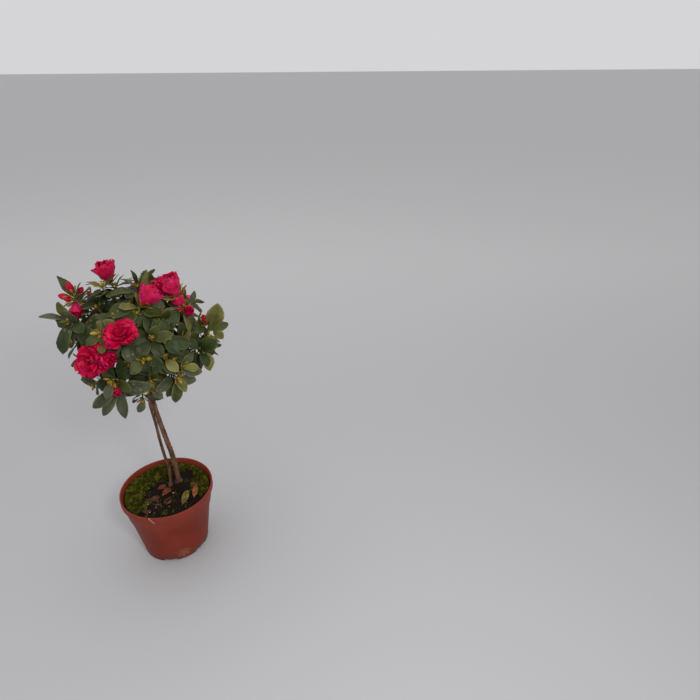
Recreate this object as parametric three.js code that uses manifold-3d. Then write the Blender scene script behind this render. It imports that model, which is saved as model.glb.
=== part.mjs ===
// An azalea grown as a little tree: two thin stems that stand as one trunk, a loose round crown of
// leaf rosettes with double red flowers, and the moss-grown plastic pot that it stands in.
// Millimetres, +Z up. The origin is the middle of the pot's flat underside. The side that the
// flowers face most, the front, looks along -Y.
import * as THREE from "three";
import { mergeVertices } from "three/addons/utils/BufferGeometryUtils.js";
import Module from "manifold-3d";

const wasm = await Module();
wasm.setup();

const V = (x, y, z) => new THREE.Vector3(x, y, z);
const UP = V(0, 0, 1);
const CLEAR = 0.3; // the gap left between pieces that touch
const SIMPLER = 0.12; // facets finer than this are merged

// Driving sizes of the pot
const RIM_RADIUS = 60;
const POT_HEIGHT = 95;
const BASE_RADIUS = 43;
const WALL = 1.5;
const FLOOR = 5.2;
const LIP_HEIGHT = 9; // the thick band round the mouth
const COLLAR_HEIGHT = 30; // from the mouth down to the step
const STEP = 1.4;
const POT_SIDES = 32;
const FEET = 6; // the underside stands on feet with a slot between each two
const SLOT = { width: 19, height: 3.6, inner: 33, firstAzimuth: -86 };
const DRAIN_RADIUS = 3.5;

// Driving sizes of the soil and the stems
const SOIL_LEVEL = 84;
const MOSS_HEIGHT = 7;
const FOOT = V(10, 20, SOIL_LEVEL + CLEAR); // where the main stem leaves the soil
const FORK_HEIGHT = 296; // the tip of the main stem
const STEM_RADIUS = 3;
const SECOND_RADIUS = 1.9;
const FLARE = 1.9; // how much wider a stem is at the soil

// Driving sizes of the crown
const CROWN_CENTRE = V(3, 0, 318);
const CROWN_REACH = V(104, 98, 93);
const BOUGH_RADIUS = 1.8;
const TWIG_RADIUS = 0.95;
const BOUGH_SHARE = 0.5; // how far out its way a bough ends and its mass of leaves begins
const LEAF = { length: 33, width: 17.5, bend: 0.7, cup: 0.1, thickness: 1 };
const BUD_LENGTH = 13;

// One row for each bough, from the lowest on the stem to the highest. `at` is the azimuth, the
// elevation and the distance of its leading rosette from the middle of the crown; `axis` the way
// the rosette faces, where it does not just face outwards. `flowers` holds kind, azimuth,
// elevation, size and length of stalk; `leaves` the azimuth, elevation and size of single leaves
// that show at the front, with a slenderness and a roll about the midrib where they have one. The
// other leaves come from the spiral of the rosette.
const BOUGHS = [
  {
    name: "low_right",
    at: [322, -24, 72],
    leaves: [[260, -70, 0.9], [330, -65, 0.65], [225, -60, 0.8]],
  },
  { name: "back_left_low", at: [165, -10, 72] },
  { name: "back_right_low", at: [52, -12, 70], flowers: [["bud", 60, 45, 0.8, 3]] },
  {
    name: "front_left_low",
    at: [252, 6, 68],
    flowers: [["open", 256, 14, 1, 3], ["half_open", 335, 14, 0.9, 6]],
    leaves: [[215, -30, 0.8]],
  },
  { name: "right_low", at: [354, -8, 76], axis: [320, 20], leaves: [[330, -65, 0.85], [345, 25, 0.7]] },
  { name: "back_low", at: [112, -8, 70] },
  {
    name: "front_right_low",
    at: [310, 3, 74],
    flowers: [["shut", 320, 60, 0.75, 0]],
    leaves: [[350, 35, 0.9], [240, -35, 0.6], [215, -25, 0.75], [330, -40, 0.75], [200, 40, 0.7]],
  },
  {
    name: "left_low",
    at: [207, 30, 74],
    axis: [255, 40],
    leaves: [[197, 34, 0.95, 0.6, 70], [240, -52, 1.15], [215, -68, 0.95, 0.7], [318, -32, 1.05], [190, 40, 0.7, 0.8, -40]],
  },
  {
    name: "right",
    at: [13, 0, 84],
    axis: [310, 50],
    flowers: [["bud", 204, 68, 1.2, 8]],
    leaves: [[8, 75, 1.15], [30, 30, 0.7, 0.6, 60], [250, -50, 0.85]],
  },
  { name: "back", at: [98, 20, 72], flowers: [["open", 98, 35, 1, 4]] },
  { name: "front_left", at: [279, 26, 68], flowers: [["open", 280, 62, 1, 3]] },
  { name: "back_right", at: [64, 6, 76], flowers: [["half_open", 84, -8, 1.1, 4]] },
  {
    name: "left_top",
    at: [184, 41, 77],
    flowers: [
      ["bud", 195, 80, 1.1, 7],
      ["bud", 182, 16, 1.05, 5],
      ["bud", 236, 20, 0.85, 3],
      ["bud", 18, 52, 0.9, 5],
      ["half_open", 288, -38, 0.85, 4],
    ],
    leaves: [[202, 50, 1, 0.85], [225, -5, 0.75], [330, 40, 0.95]],
  },
  {
    name: "front_right",
    at: [304, 21, 72],
    flowers: [["shut", 310, 62, 0.75, 0]],
    leaves: [[350, 25, 0.85], [350, 62, 0.6], [213, -8, 0.62], [320, -45, 0.7]],
  },
  { name: "back_left", at: [146, 24, 76], flowers: [["bud", 146, 35, 0.9, 4], ["bud", 100, 25, 0.9, 4]] },
  {
    name: "right_top",
    at: [0, 31, 72],
    flowers: [["half_open", 205, 66, 1.45, 16], ["half_open", 201, 57, 0.8, 3.6], ["half_open", 300, 5, 0.6, 2], ["bud", 222, 10, 0.6, 4]],
    leaves: [[40, 35, 0.7, 0.7, 50], [25, 18, 0.95, 0.6, 60], [302, -52, 0.8], [235, -18, 0.95], [10, -30, 0.7]],
  },
  {
    name: "top_left",
    at: [151, 68, 65.5],
    flowers: [["half_open", 190, 80, 1.2, 4]],
    leaves: [[200, 10, 0.85, 0.7], [40, 60, 0.65, 0.7]],
  },
  { name: "back_top", at: [88, 47, 70], flowers: [["bud", 84, 12, 1, 4], ["bud", 40, 0, 0.8, 4]] },
  {
    name: "front_top",
    at: [303, 54, 64],
    flowers: [["half_open", 28, 42, 1.25, 3]],
    leaves: [[212, 0, 0.95], [240, -35, 0.6], [300, -60, 0.6]],
  },
];
const LEADER = {
  name: "crown_top",
  at: [345, 78, 64],
  leaves: [[100, 75, 0.7, 0.6, 50], [225, 5, 1.05], [40, 40, 0.85, 0.6, 60], [10, 10, 0.65, 0.7]],
};
const SECOND = {
  name: "low_left",
  at: [266, -22, 69],
  flowers: [["bud", 250, 35, 0.7, 3], ["half_open", 275, -20, 0.5, 2]],
  leaves: [[0, 0, 1.1], [203, -36, 1.2, 0.6], [206, -58, 1.35, 0.5], [255, -79, 1.35, 0.55]],
};
const FIRST_BOUGH = 0.8; // the share of the main stem below the first bough
const LAST_BOUGH = 0.985;

const bark = new THREE.MeshStandardMaterial({ color: 0x5d3a2a, roughness: 0.9 });
const foliage = new THREE.MeshStandardMaterial({ color: 0x33451f, roughness: 0.65 });
const terracotta = new THREE.MeshStandardMaterial({ color: 0x9a4030, roughness: 0.6 });
const soilBrown = new THREE.MeshStandardMaterial({ color: 0x2c2417, roughness: 1 });

// A repeatable source of numbers from 0 to 1 for each piece, so that no piece depends on another.
function dice(...keys) {
  const modulus = 4294967296;
  let state = 12345;
  for (const key of keys) state = (state * 69069 + key * 1013 + 1) % modulus;
  const next = () => {
    state = (state * 1664525 + 1013904223) % modulus;
    return state / modulus;
  };
  for (let i = 0; i < 4; i++) next();
  return next;
}

const radians = THREE.MathUtils.degToRad;
const mix = THREE.MathUtils.lerp;

function pointing(azimuth, elevation) {
  const a = radians(azimuth);
  const e = radians(elevation);
  return V(Math.cos(a) * Math.cos(e), Math.sin(a) * Math.cos(e), Math.sin(e));
}

// Two unit vectors square to an axis and to each other.
function squareTo(axis) {
  const help = Math.abs(axis.z) < 0.9 ? UP : V(1, 0, 0);
  const first = V().crossVectors(help, axis).normalize();
  return [first, V().crossVectors(axis, first)];
}

// Closed solids from three.js geometry, and back
function solidFrom(geometry) {
  const bare = geometry.clone();
  bare.deleteAttribute("normal");
  bare.deleteAttribute("uv");
  const merged = mergeVertices(bare, 1e-4);
  const mesh = new wasm.Mesh({
    numProp: 3,
    vertProperties: new Float32Array(merged.attributes.position.array),
    triVerts: new Uint32Array(merged.index.array),
  });
  return new wasm.Manifold(mesh);
}

function geometryFrom(solid) {
  const mesh = solid.getMesh();
  const points = new Float32Array(mesh.numVert * 3);
  for (let i = 0; i < mesh.numVert; i++)
    points.set(mesh.vertProperties.subarray(i * mesh.numProp, i * mesh.numProp + 3), i * 3);
  return new THREE.BufferGeometry()
    .setAttribute("position", new THREE.BufferAttribute(points, 3))
    .setIndex(new THREE.BufferAttribute(mesh.triVerts, 1));
}

function largestPiece(solid) {
  return solid.decompose().reduce((a, b) => (b.volume() > a.volume() ? b : a));
}

const joined = (solids) => solids.reduce((a, b) => a.add(b));

// A limb: a cylinder whose rings are set along a curve, with its own radius at each ring.
function limb(curve, radiusAt, sides, rings) {
  const geometry = new THREE.CylinderGeometry(1, 1, 1, sides, rings);
  const frames = curve.computeFrenetFrames(rings, false);
  const at = geometry.attributes.position;
  for (let i = 0; i < at.count; i++) {
    const ring = Math.round((at.getY(i) + 0.5) * rings);
    const t = ring / rings;
    const point = curve
      .getPointAt(t)
      .addScaledVector(frames.binormals[ring], at.getX(i) * radiusAt(t))
      .addScaledVector(frames.normals[ring], at.getZ(i) * radiusAt(t));
    at.setXYZ(i, point.x, point.y, point.z);
  }
  return solidFrom(geometry);
}

// A closed skin over rings of equal point count, with a flat cap or a single point at each end.
function skin(rings) {
  const positions = rings.flat().flatMap((p) => [p.x, p.y, p.z]);
  const starts = [];
  rings.reduce((n, ring) => (starts.push(n), n + ring.length), 0);
  const faces = [];
  for (let r = 0; r + 1 < rings.length; r++) {
    const count = Math.max(rings[r].length, rings[r + 1].length);
    for (let i = 0; i < count; i++) {
      const j = (i + 1) % count;
      const a = (k) => starts[r] + (rings[r].length === 1 ? 0 : k);
      const b = (k) => starts[r + 1] + (rings[r + 1].length === 1 ? 0 : k);
      if (rings[r].length > 1) faces.push(a(i), a(j), b(i));
      if (rings[r + 1].length > 1) faces.push(a(j), b(j), b(i));
    }
  }
  const cap = (start, count, flip) => {
    for (let i = 1; i + 1 < count; i++)
      faces.push(start, start + (flip ? i + 1 : i), start + (flip ? i : i + 1));
  };
  cap(starts[0], rings[0].length, true);
  cap(starts.at(-1), rings.at(-1).length, false);
  const geometry = new THREE.BufferGeometry()
    .setAttribute("position", new THREE.Float32BufferAttribute(positions, 3))
    .setIndex(faces);
  const solid = solidFrom(geometry);
  if (solid.volume() > 0) return solid;
  for (let i = 0; i < faces.length; i += 3) [faces[i + 1], faces[i + 2]] = [faces[i + 2], faces[i + 1]];
  return solidFrom(geometry.setIndex(faces));
}

// A blade, leaf or petal: its midrib is an arc that leaves the root along `way` and bends back from
// its upper side by `bend` radians. Half its width follows a sine that is widest past the middle.
function blade(root, way, upper, size) {
  const side = V().crossVectors(way, upper);
  const half = (u) => {
    const t = Math.max(0, (u - 0.1) / 0.9);
    return 0.5 * size.width * Math.max(Math.max(0, Math.sin(Math.PI * t ** 1.3)) ** 0.8, 0.07 * (1 - t));
  };
  const point = (u, v, lift = 0) => {
    const turn = size.bend * u;
    const out = size.bend ? Math.sin(turn) / size.bend : u;
    const back = size.bend ? (1 - Math.cos(turn)) / size.bend : 0;
    const normal = upper.clone().multiplyScalar(Math.cos(turn)).addScaledVector(way, Math.sin(turn));
    return root
      .clone()
      .addScaledVector(way, size.length * out)
      .addScaledVector(upper, -size.length * back)
      .addScaledVector(side, v * half(u))
      .addScaledVector(normal, size.cup * v * v * half(u) * 2 + lift);
  };
  return { root, size, point };
}

// Each cross-section is a triangle: the two edges of the upper face, and the keel below it.
const BLADE_STATIONS = [0.42, 0.78];

function bladeSolid({ point, size }, extra = 0) {
  const keel = -size.thickness - extra;
  const wide = 1 + extra / size.width;
  const foot = [point(0, 1), point(0, 0, -0.75), point(0, -1)];
  const middle = point(0, 0);
  for (const i of [0, 2]) foot[i].sub(middle).setLength(0.55).add(middle);
  const rings = BLADE_STATIONS.map((u) => [point(u, wide, extra), point(u, 0, keel), point(u, -wide, extra)]);
  return skin([foot, ...rings, [point(1 + extra / size.length, 0)]]);
}

// Points and edges of a blade for the test of whether two blades meet
const TEST_STATIONS = [0.16, 0.37, 0.58, 0.79, 1];

function outline(b) {
  const rows = TEST_STATIONS.map((u) => [-1, 0, 1].map((v) => b.point(u, v)));
  const triangles = [];
  const edges = [];
  for (let r = 0; r + 1 < rows.length; r++) {
    for (let c = 0; c < 3; c++) {
      edges.push([rows[r][c], rows[r + 1][c]]);
      if (c === 2) continue;
      triangles.push([rows[r][c], rows[r][c + 1], rows[r + 1][c]]);
      triangles.push([rows[r][c + 1], rows[r + 1][c + 1], rows[r + 1][c]]);
      edges.push([rows[r][c], rows[r][c + 1]]);
    }
  }
  return { points: rows.flat(), triangles, edges, middle: b.point(0.55, 0) };
}

function edgeCuts([from, to], [a, b, c]) {
  const way = to.clone().sub(from);
  const one = b.clone().sub(a);
  const two = c.clone().sub(a);
  const p = V().crossVectors(way, two);
  const det = one.dot(p);
  if (Math.abs(det) < 1e-9) return false;
  const s = from.clone().sub(a);
  const u = s.dot(p) / det;
  if (u < 0 || u > 1) return false;
  const q = V().crossVectors(s, one);
  const v = way.dot(q) / det;
  if (v < 0 || u + v > 1) return false;
  const t = two.dot(q) / det;
  return t >= 0 && t <= 1;
}

// What is already there, which a new leaf or twig keeps clear of
const leaves = []; // outlines, each with its rosette's number
const taken = []; // { owner, solid, box }: every piece placed so far, with the mass it belongs to
const balls = []; // { middle, radius }: the room of each flower
const limbs = []; // { owner, from, to, radius }: stretches of stem, bough and twig
const LIMB_STRETCHES = 4;
const LEAF_TO_LIMB = 0.9;
const LIMB_TO_LIMB = 0.8;
const LEAF_GAP = 1.9; // least distance between the test points of two leaves
const NEAR = 46; // leaves whose middles are further apart are not compared

const ROOT_DEPTH = 0.45; // how far from a twig's middle a leaf's foot lies
const STEMS = -1; // the owner of the stems and boughs, which nothing may touch

function take(owner, solid) {
  const { min, max } = solid.boundingBox();
  taken.push({ owner, solid, box: new THREE.Box3(V(...min), V(...max)) });
}

function isFree(owner, solid, sharesOwn) {
  const { min, max } = solid.boundingBox();
  const box = new THREE.Box3(V(...min), V(...max));
  return taken.every(
    (t) => (sharesOwn && t.owner === owner) || !t.box.intersectsBox(box) || t.solid.intersect(solid).isEmpty(),
  );
}

function stretchesOf(curve, count = LIMB_STRETCHES) {
  return Array.from({ length: count }, (_, i) => [curve.getPoint(i / count), curve.getPoint((i + 1) / count)]);
}

function noteLimb(owner, curve, radius, count) {
  for (const [from, to] of stretchesOf(curve, count)) limbs.push({ owner, from, to, radius });
}

function toSegment(point, from, to) {
  const way = to.clone().sub(from);
  const t = THREE.MathUtils.clamp(point.clone().sub(from).dot(way) / way.lengthSq(), 0, 1);
  return from.clone().addScaledVector(way, t).distanceTo(point);
}

function withinCrown(point, scale) {
  const d = point.clone().sub(CROWN_CENTRE).divide(CROWN_REACH);
  return d.length() <= scale;
}

function leafFits(shape, rosette, reach) {
  if (!shape.points.every((p) => withinCrown(p, reach))) return false;
  if (shape.points.some((p) => balls.some((b) => b.middle.distanceTo(p) < b.radius))) return false;
  for (const { from, to, radius } of limbs) {
    if (toSegment(shape.middle, from, to) > NEAR / 2 + radius) continue;
    if (shape.points.slice(3).some((p) => toSegment(p, from, to) < radius + LEAF_TO_LIMB)) return false;
    if (shape.triangles.slice(4).some((t) => edgeCuts([from, to], t))) return false;
  }
  for (const other of leaves) {
    if (other.middle.distanceTo(shape.middle) > NEAR) continue;
    const skip = other.rosette === rosette ? 6 : 0;
    for (const p of shape.points.slice(skip))
      for (const q of other.points.slice(skip)) if (p.distanceTo(q) < LEAF_GAP) return false;
    for (const [one, two] of [[shape, other], [other, shape]])
      for (const edge of one.edges) for (const t of two.triangles) if (edgeCuts(edge, t)) return false;
  }
  return true;
}

// A twig keeps clear of flowers, of leaves and of every limb but the one that it grows from.
function twigFits(owner, curve, radius) {
  return stretchesOf(curve).every(([from, to], i) => {
    if (balls.some((b) => toSegment(b.middle, from, to) < b.radius)) return false;
    const middle = from.clone().lerp(to, 0.5);
    const others = limbs.filter((l) => l.owner !== owner);
    for (const p of [middle, to])
      if (others.some((l) => toSegment(p, l.from, l.to) < radius + l.radius + LIMB_TO_LIMB)) return false;
    return leaves.every(
      (leaf) =>
        leaf.middle.distanceTo(middle) > NEAR ||
        (leaf.points.every((p) => toSegment(p, from, to) > radius + LEAF_TO_LIMB) &&
          !leaf.triangles.some((t) => edgeCuts([from, to], t))),
    );
  });
}

// A leaf that fits takes its place. Its solid is left out where it would still touch another mass
// or a limb. Gives the solids to add, or null where the leaf doesn't fit.
function tryLeaf(owner, rosette, b, reach = 1.02) {
  const shape = outline(b);
  if (!leafFits(shape, rosette, reach)) return null;
  leaves.push({ ...shape, rosette });
  if (!isFree(owner, bladeSolid(b, CLEAR), true)) return [];
  const solid = bladeSolid(b);
  take(owner, solid);
  return [solid];
}

// The ways of a leaf's midrib and of its upper side, for a leaf opened by `open` radians from its
// shoot. The upper side always looks along the shoot.
function leafFrame(axis, spoke, open) {
  return [
    axis.clone().multiplyScalar(Math.cos(open)).addScaledVector(spoke, Math.sin(open)),
    axis.clone().multiplyScalar(Math.sin(open)).addScaledVector(spoke, -Math.cos(open)),
  ];
}

function leafSize(scale, bend) {
  return { ...LEAF, length: LEAF.length * scale, width: LEAF.width * scale, bend };
}

// The point of a shoot that lies a given length behind its tip
function behindTip({ curve }, length) {
  const whole = curve.getPoint(0).distanceTo(curve.getPoint(1));
  return curve.getPoint(Math.max(0, 1 - length / whole));
}

// Single leaves, aimed from root to tip along a given way. They may reach a little further out.
function aimedLeaves(owner, shoot, rows) {
  const { axis } = shoot;
  const made = [];
  rows.forEach(([azimuth, elevation, scale, slender = 1, turned = 0], i) => {
    const chord = pointing(azimuth, elevation);
    const spoke = chord.clone().addScaledVector(axis, -chord.dot(axis)).normalize();
    const open = Math.acos(THREE.MathUtils.clamp(chord.dot(axis), -1, 1)) - LEAF.bend / 2;
    const root = behindTip(shoot, 1 + (i * ROSETTE_STRETCH) / 6).addScaledVector(spoke, ROOT_DEPTH);
    for (let k = 0; k < 5; k++) {
      const [way, level] = leafFrame(axis, spoke, open - radians(k * 6));
      const upper = level
        .clone()
        .multiplyScalar(Math.cos(radians(turned)))
        .addScaledVector(V().crossVectors(way, level), Math.sin(radians(turned)));
      const size = leafSize(scale, LEAF.bend);
      size.width *= slender;
      const placed = tryLeaf(owner, owner * 10, blade(root, way, upper, size), 1.14);
      if (!placed) continue;
      made.push(...placed);
      break;
    }
  });
  return made;
}

// A rosette: leaves leave the last stretch of a shoot in a spiral of golden angles, the lowest
// long and spread flat, the top ones short and upright. One that does not fit is raised and
// turned a few times, and then left out.
const GOLDEN_ANGLE = 137.5;
const ROSETTE_STRETCH = 11;

function rosetteLeaves(owner, rosette, shoot, count, size, tilt) {
  const { axis } = shoot;
  const [first, second] = squareTo(axis);
  const start = dice(rosette, 1)() * 360;
  const made = [];
  for (let i = 0; i < count; i++) {
    const roll = dice(rosette, 2, i);
    const share = i / (count - 1);
    const along = behindTip(shoot, (1 - share) * ROSETTE_STRETCH);
    const around = start + i * GOLDEN_ANGLE + (roll() - 0.5) * 24;
    const opened = mix(tilt[0], tilt[1], share) + (roll() - 0.5) * 16;
    const scale = size * mix(1, 0.66, share) * mix(0.88, 1.1, roll());
    for (let k = 0; k < 8; k++) {
      const a = radians(around + (k % 2 ? 1 : -1) * k * 9);
      const open = radians(opened - k * 6);
      const spoke = first.clone().multiplyScalar(Math.cos(a)).addScaledVector(second, Math.sin(a));
      const root = along.clone().addScaledVector(spoke, ROOT_DEPTH);
      const [way, upper] = leafFrame(axis, spoke, open);
      const bend = LEAF.bend * mix(0.6, 1.3, share) * Math.max(Math.sin(open), 0.3);
      const placed = tryLeaf(owner, rosette, blade(root, way, upper, leafSize(scale, bend)));
      if (!placed) continue;
      made.push(...placed);
      break;
    }
  }
  return made;
}

// Flowers. Each grows from `base` along its own axis.
function lump(middle, axis, radius, length, sides = 6) {
  const geometry = new THREE.SphereGeometry(1, sides, 4).rotateX(Math.PI / 2).scale(radius, radius, length);
  const turn = new THREE.Quaternion().setFromUnitVectors(UP, axis);
  return solidFrom(geometry.applyQuaternion(turn).translate(middle.x, middle.y, middle.z));
}

// A flower: one skin from its foot out along the petals' backs to the ruffled rim and in over the
// heap of inner petals. Each row holds a radius, a height and how far the petals part it in and out.
const PETALS = 5;

function ruffled(base, axis, scale, profile) {
  const [first, second] = squareTo(axis);
  const sides = PETALS * 2;
  const rings = profile.map(([radius, height, wave]) => {
    const middle = base.clone().addScaledVector(axis, height * scale);
    if (radius === 0) return [middle];
    return Array.from({ length: sides }, (_, i) => {
      const a = (i * 2 * Math.PI) / sides;
      const out = (radius + (i % 2 ? -wave : wave)) * scale;
      return middle.clone().addScaledVector(first, Math.cos(a) * out).addScaledVector(second, Math.sin(a) * out);
    });
  });
  return skin(rings);
}

const OPEN_PROFILE = [
  [2, 0, 0],
  [9.5, 3, 0.6],
  [16.5, 7.5, 1.8],
  [14.5, 9.3, 1.6],
  [7.5, 8.5, 0.5],
  [5.5, 13, 1.2],
  [0, 11.5, 0],
];
const HALF_OPEN_PROFILE = [
  [2, 0, 0],
  [6, 6, 0.4],
  [9, 17, 1.3],
  [6.5, 18.5, 1.1],
  [3, 15, 0.4],
  [0, 14.5, 0],
];

const FLOWERS = {
  open: { room: 16, reach: 8, make: (base, axis, scale) => ruffled(base, axis, scale, OPEN_PROFILE) },
  half_open: { room: 10.5, reach: 10, make: (base, axis, scale) => ruffled(base, axis, scale, HALF_OPEN_PROFILE) },
  bud: {
    room: 4.5,
    reach: BUD_LENGTH / 2,
    make: (base, axis, scale) =>
      lump(base.clone().addScaledVector(axis, (BUD_LENGTH / 2) * scale), axis, 3.3 * scale, (BUD_LENGTH / 2) * scale),
  },
  shut: {
    room: 3.2,
    reach: 4.5,
    make: (base, axis, scale) => lump(base.clone().addScaledVector(axis, 4.5 * scale), axis, 2.7 * scale, 6 * scale),
  },
};

function flowersOf(shoot, rows) {
  return rows.flatMap(([kind, azimuth, elevation, scale, stalkLength]) => {
    const { room, reach, make } = FLOWERS[kind];
    const axis = pointing(azimuth, elevation);
    const base = shoot.tip.clone().addScaledVector(axis, stalkLength);
    balls.push({ middle: base.clone().addScaledVector(axis, reach * scale), radius: room * scale });
    const stalkEnd = base.clone().addScaledVector(axis, 2.5 * scale);
    const stalk = limb(new THREE.LineCurve3(behindTip(shoot, 1), stalkEnd), () => 1.05, 4, 1);
    return [stalk, make(base, axis, scale)];
  });
}

function leaning(axis, around, by) {
  const [first, second] = squareTo(axis);
  const a = radians(around);
  return axis
    .clone()
    .addScaledVector(first, Math.cos(a) * by)
    .addScaledVector(second, Math.sin(a) * by)
    .normalize();
}

// The pot, turned about its axis from one closed profile: out of the underside, up the body, out
// over the step and the lip, and down the inside
function lathe(profile, sides) {
  const points = profile.map(([r, z]) => new THREE.Vector2(r, z));
  return new THREE.LatheGeometry(points, sides).rotateX(Math.PI / 2);
}

const lipFoot = POT_HEIGHT - LIP_HEIGHT;
const stepLevel = POT_HEIGHT - COLLAR_HEIGHT;
const bodyTop = RIM_RADIUS - 7;
const collarFoot = bodyTop + STEP;
const collarTop = RIM_RADIUS - 2.4;
const insideOfPot = [
  [BASE_RADIUS - WALL, FLOOR],
  [bodyTop - WALL, stepLevel - WALL],
  [collarFoot - WALL, stepLevel + WALL],
  [collarTop - WALL, lipFoot],
  [RIM_RADIUS - WALL - 0.6, POT_HEIGHT - 1],
];

function makePot() {
  const shell = [
    [0, 0],
    [BASE_RADIUS - 1.2, 0],
    [BASE_RADIUS, 1.2],
    [bodyTop, stepLevel - 0.8],
    [collarFoot, stepLevel],
    [collarTop, lipFoot - 1],
    [RIM_RADIUS, lipFoot + 0.6],
    [RIM_RADIUS, POT_HEIGHT - 0.8],
    [RIM_RADIUS - 0.8, POT_HEIGHT],
    [RIM_RADIUS - WALL, POT_HEIGHT],
    ...insideOfPot.toReversed(),
    [0, FLOOR],
  ];
  let pot = solidFrom(lathe(shell, POT_SIDES));
  const span = BASE_RADIUS + 4 - SLOT.inner;
  for (let i = 0; i < FEET; i++) {
    const turn = radians(SLOT.firstAzimuth + (i * 360) / FEET);
    const slot = new THREE.BoxGeometry(span, SLOT.width, SLOT.height * 2)
      .translate(SLOT.inner + span / 2, 0, 0)
      .rotateZ(turn);
    const drain = new THREE.CylinderGeometry(DRAIN_RADIUS, DRAIN_RADIUS, FLOOR * 3, 8)
      .rotateX(Math.PI / 2)
      .translate(SLOT.inner + DRAIN_RADIUS, 0, 0)
      .rotateZ(turn);
    pot = pot.subtract(solidFrom(slot)).subtract(solidFrom(drain));
  }
  return pot;
}

// The soil fills the pot to just under the lip. Its top is bare and flat round the stems and in
// front of them, and humps up into cushions of moss at the left, the back and the right.
const MOSS = [
  { azimuth: 172, spread: 58, height: 0.95 },
  { azimuth: 112, spread: 62, height: 1 },
  { azimuth: 42, spread: 58, height: 0.85 },
  { azimuth: 222, spread: 26, height: 0.45 },
];

function mossAt(x, y) {
  const radius = Math.hypot(x, y);
  const azimuth = THREE.MathUtils.radToDeg(Math.atan2(y, x));
  const clearOfStems = THREE.MathUtils.smoothstep(Math.hypot(x - FOOT.x, y - FOOT.y), 16, 30);
  const cushion = (m) => {
    const off = Math.abs(((azimuth - m.azimuth + 540) % 360) - 180) / m.spread;
    return m.height * Math.max(0, 1 - off * off);
  };
  const outwards = THREE.MathUtils.smoothstep(radius, 14, 44);
  return MOSS_HEIGHT * clearOfStems * outwards * Math.max(...MOSS.map(cushion));
}

function makeSoil() {
  const wallGap = CLEAR + 0.15;
  const outer = insideOfPot.slice(0, 4).map(([r, z]) => [r - wallGap, z]);
  outer[0][1] += CLEAR;
  const edge = collarTop - WALL - wallGap - 0.6;
  const top = [edge, edge - 8, 38, 26, 12].map((r) => [r, SOIL_LEVEL]);
  const profile = [[0, FLOOR + CLEAR], ...outer.slice(0, 3), ...top, [0, SOIL_LEVEL]];
  const geometry = lathe(profile, POT_SIDES);
  const at = geometry.attributes.position;
  for (let i = 0; i < at.count; i++)
    if (at.getZ(i) > SOIL_LEVEL - 0.01) at.setZ(i, SOIL_LEVEL + mossAt(at.getX(i), at.getY(i)));
  return solidFrom(geometry);
}

// The two stems. The main one leans towards the front and back to upright; the second leaves the
// soil beside it, parts from it, meets it again and follows it, half a turn round, to the crown.
const mainCurve = new THREE.CatmullRomCurve3([
  FOOT.clone().setZ(FOOT.z - 2),
  V(10.5, 14.5, 132),
  V(7.5, 8, 178),
  V(5, 2, 226),
  V(8, -1, 264),
  V(9, -2, FORK_HEIGHT),
], false, "catmullrom");
const FLARE_LENGTH = 0.05;
const flared = (radius, taper) => (t) =>
  radius * mix(1.12, taper, t) * (1 + (FLARE - 1) * Math.max(0, 1 - t / FLARE_LENGTH) ** 2);
const mainRadius = flared(STEM_RADIUS, 0.78);
const cutAtSoil = (solid) => solid.trimByPlane([0, 0, 1], FOOT.z);
const aroundMain = (extra) => cutAtSoil(limb(mainCurve, (t) => mainRadius(t) + extra, 10, 18));

const GAP_BETWEEN_STEMS = 3.4;
const SECOND_LEAVES_AT = 0.86; // where the second stem turns out into the crown

function secondCurve() {
  const points = [];
  for (let t = 0; t < SECOND_LEAVES_AT; t += 0.12) {
    const parted = Math.sin(Math.PI * Math.min(1, t / 0.45)) * GAP_BETWEEN_STEMS;
    const away = mainRadius(t) * 0.99 + SECOND_RADIUS + 1.1 + parted + (t === 0 ? 1.6 : 0);
    const turn = radians(mix(196, 262, t / SECOND_LEAVES_AT));
    const middle = mainCurve.getPoint(t);
    points.push(V(middle.x + away * Math.cos(turn), middle.y + away * Math.sin(turn), middle.z));
  }
  const goal = rosetteTip(SECOND);
  const last = points.at(-1);
  points.push(last.clone().lerp(goal, BOUGH_SHARE).add(V(0, 0, 7)));
  return new THREE.CatmullRomCurve3(points, false, "catmullrom");
}

function rosetteTip({ at: [azimuth, elevation, reach] }) {
  return CROWN_CENTRE.clone().addScaledVector(pointing(azimuth, elevation), reach);
}

// A shoot grows outwards and turns up a little.
function shootAxis(outwards) {
  return outwards.clone().addScaledVector(UP, 0.35).normalize();
}

// A bough leaves the main stem, bows upwards and ends where its mass of leaves begins.
const boughTaper = (t) => mix(BOUGH_RADIUS, 1.25, t);

function boughCurve(row, index) {
  const from = mainCurve.getPoint(mix(FIRST_BOUGH, LAST_BOUGH, index / (BOUGHS.length - 1)));
  const tip = rosetteTip(row);
  const end = from.clone().lerp(tip, BOUGH_SHARE).add(V(0, 0, 4));
  const out = pointing(row.at[0], THREE.MathUtils.clamp(row.at[1], 8, 45));
  const bow = from.clone().addScaledVector(out, from.distanceTo(end) * 0.5);
  return new THREE.QuadraticBezierCurve3(from, bow, end);
}

const group = new THREE.Group();
group.name = "azalea";

function place(name, solid, material) {
  const plain = largestPiece(solid).asOriginal().simplify(SIMPLER);
  const whole = largestPiece(solidFrom(geometryFrom(plain)));
  const mesh = new THREE.Mesh(geometryFrom(whole), material);
  mesh.name = name;
  group.add(mesh);
}

// A mass of leaves: the stem goes on from its bough's tip to the leading rosette, and a side shoot
// branches from it, towards the freest of a few seeded directions.
const SIDE_SHOOTS = 2;
const SIDE_TRIES = 16;
const placedTips = [];
const twigTaper = (t) => mix(1.25, TWIG_RADIUS, t);

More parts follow.
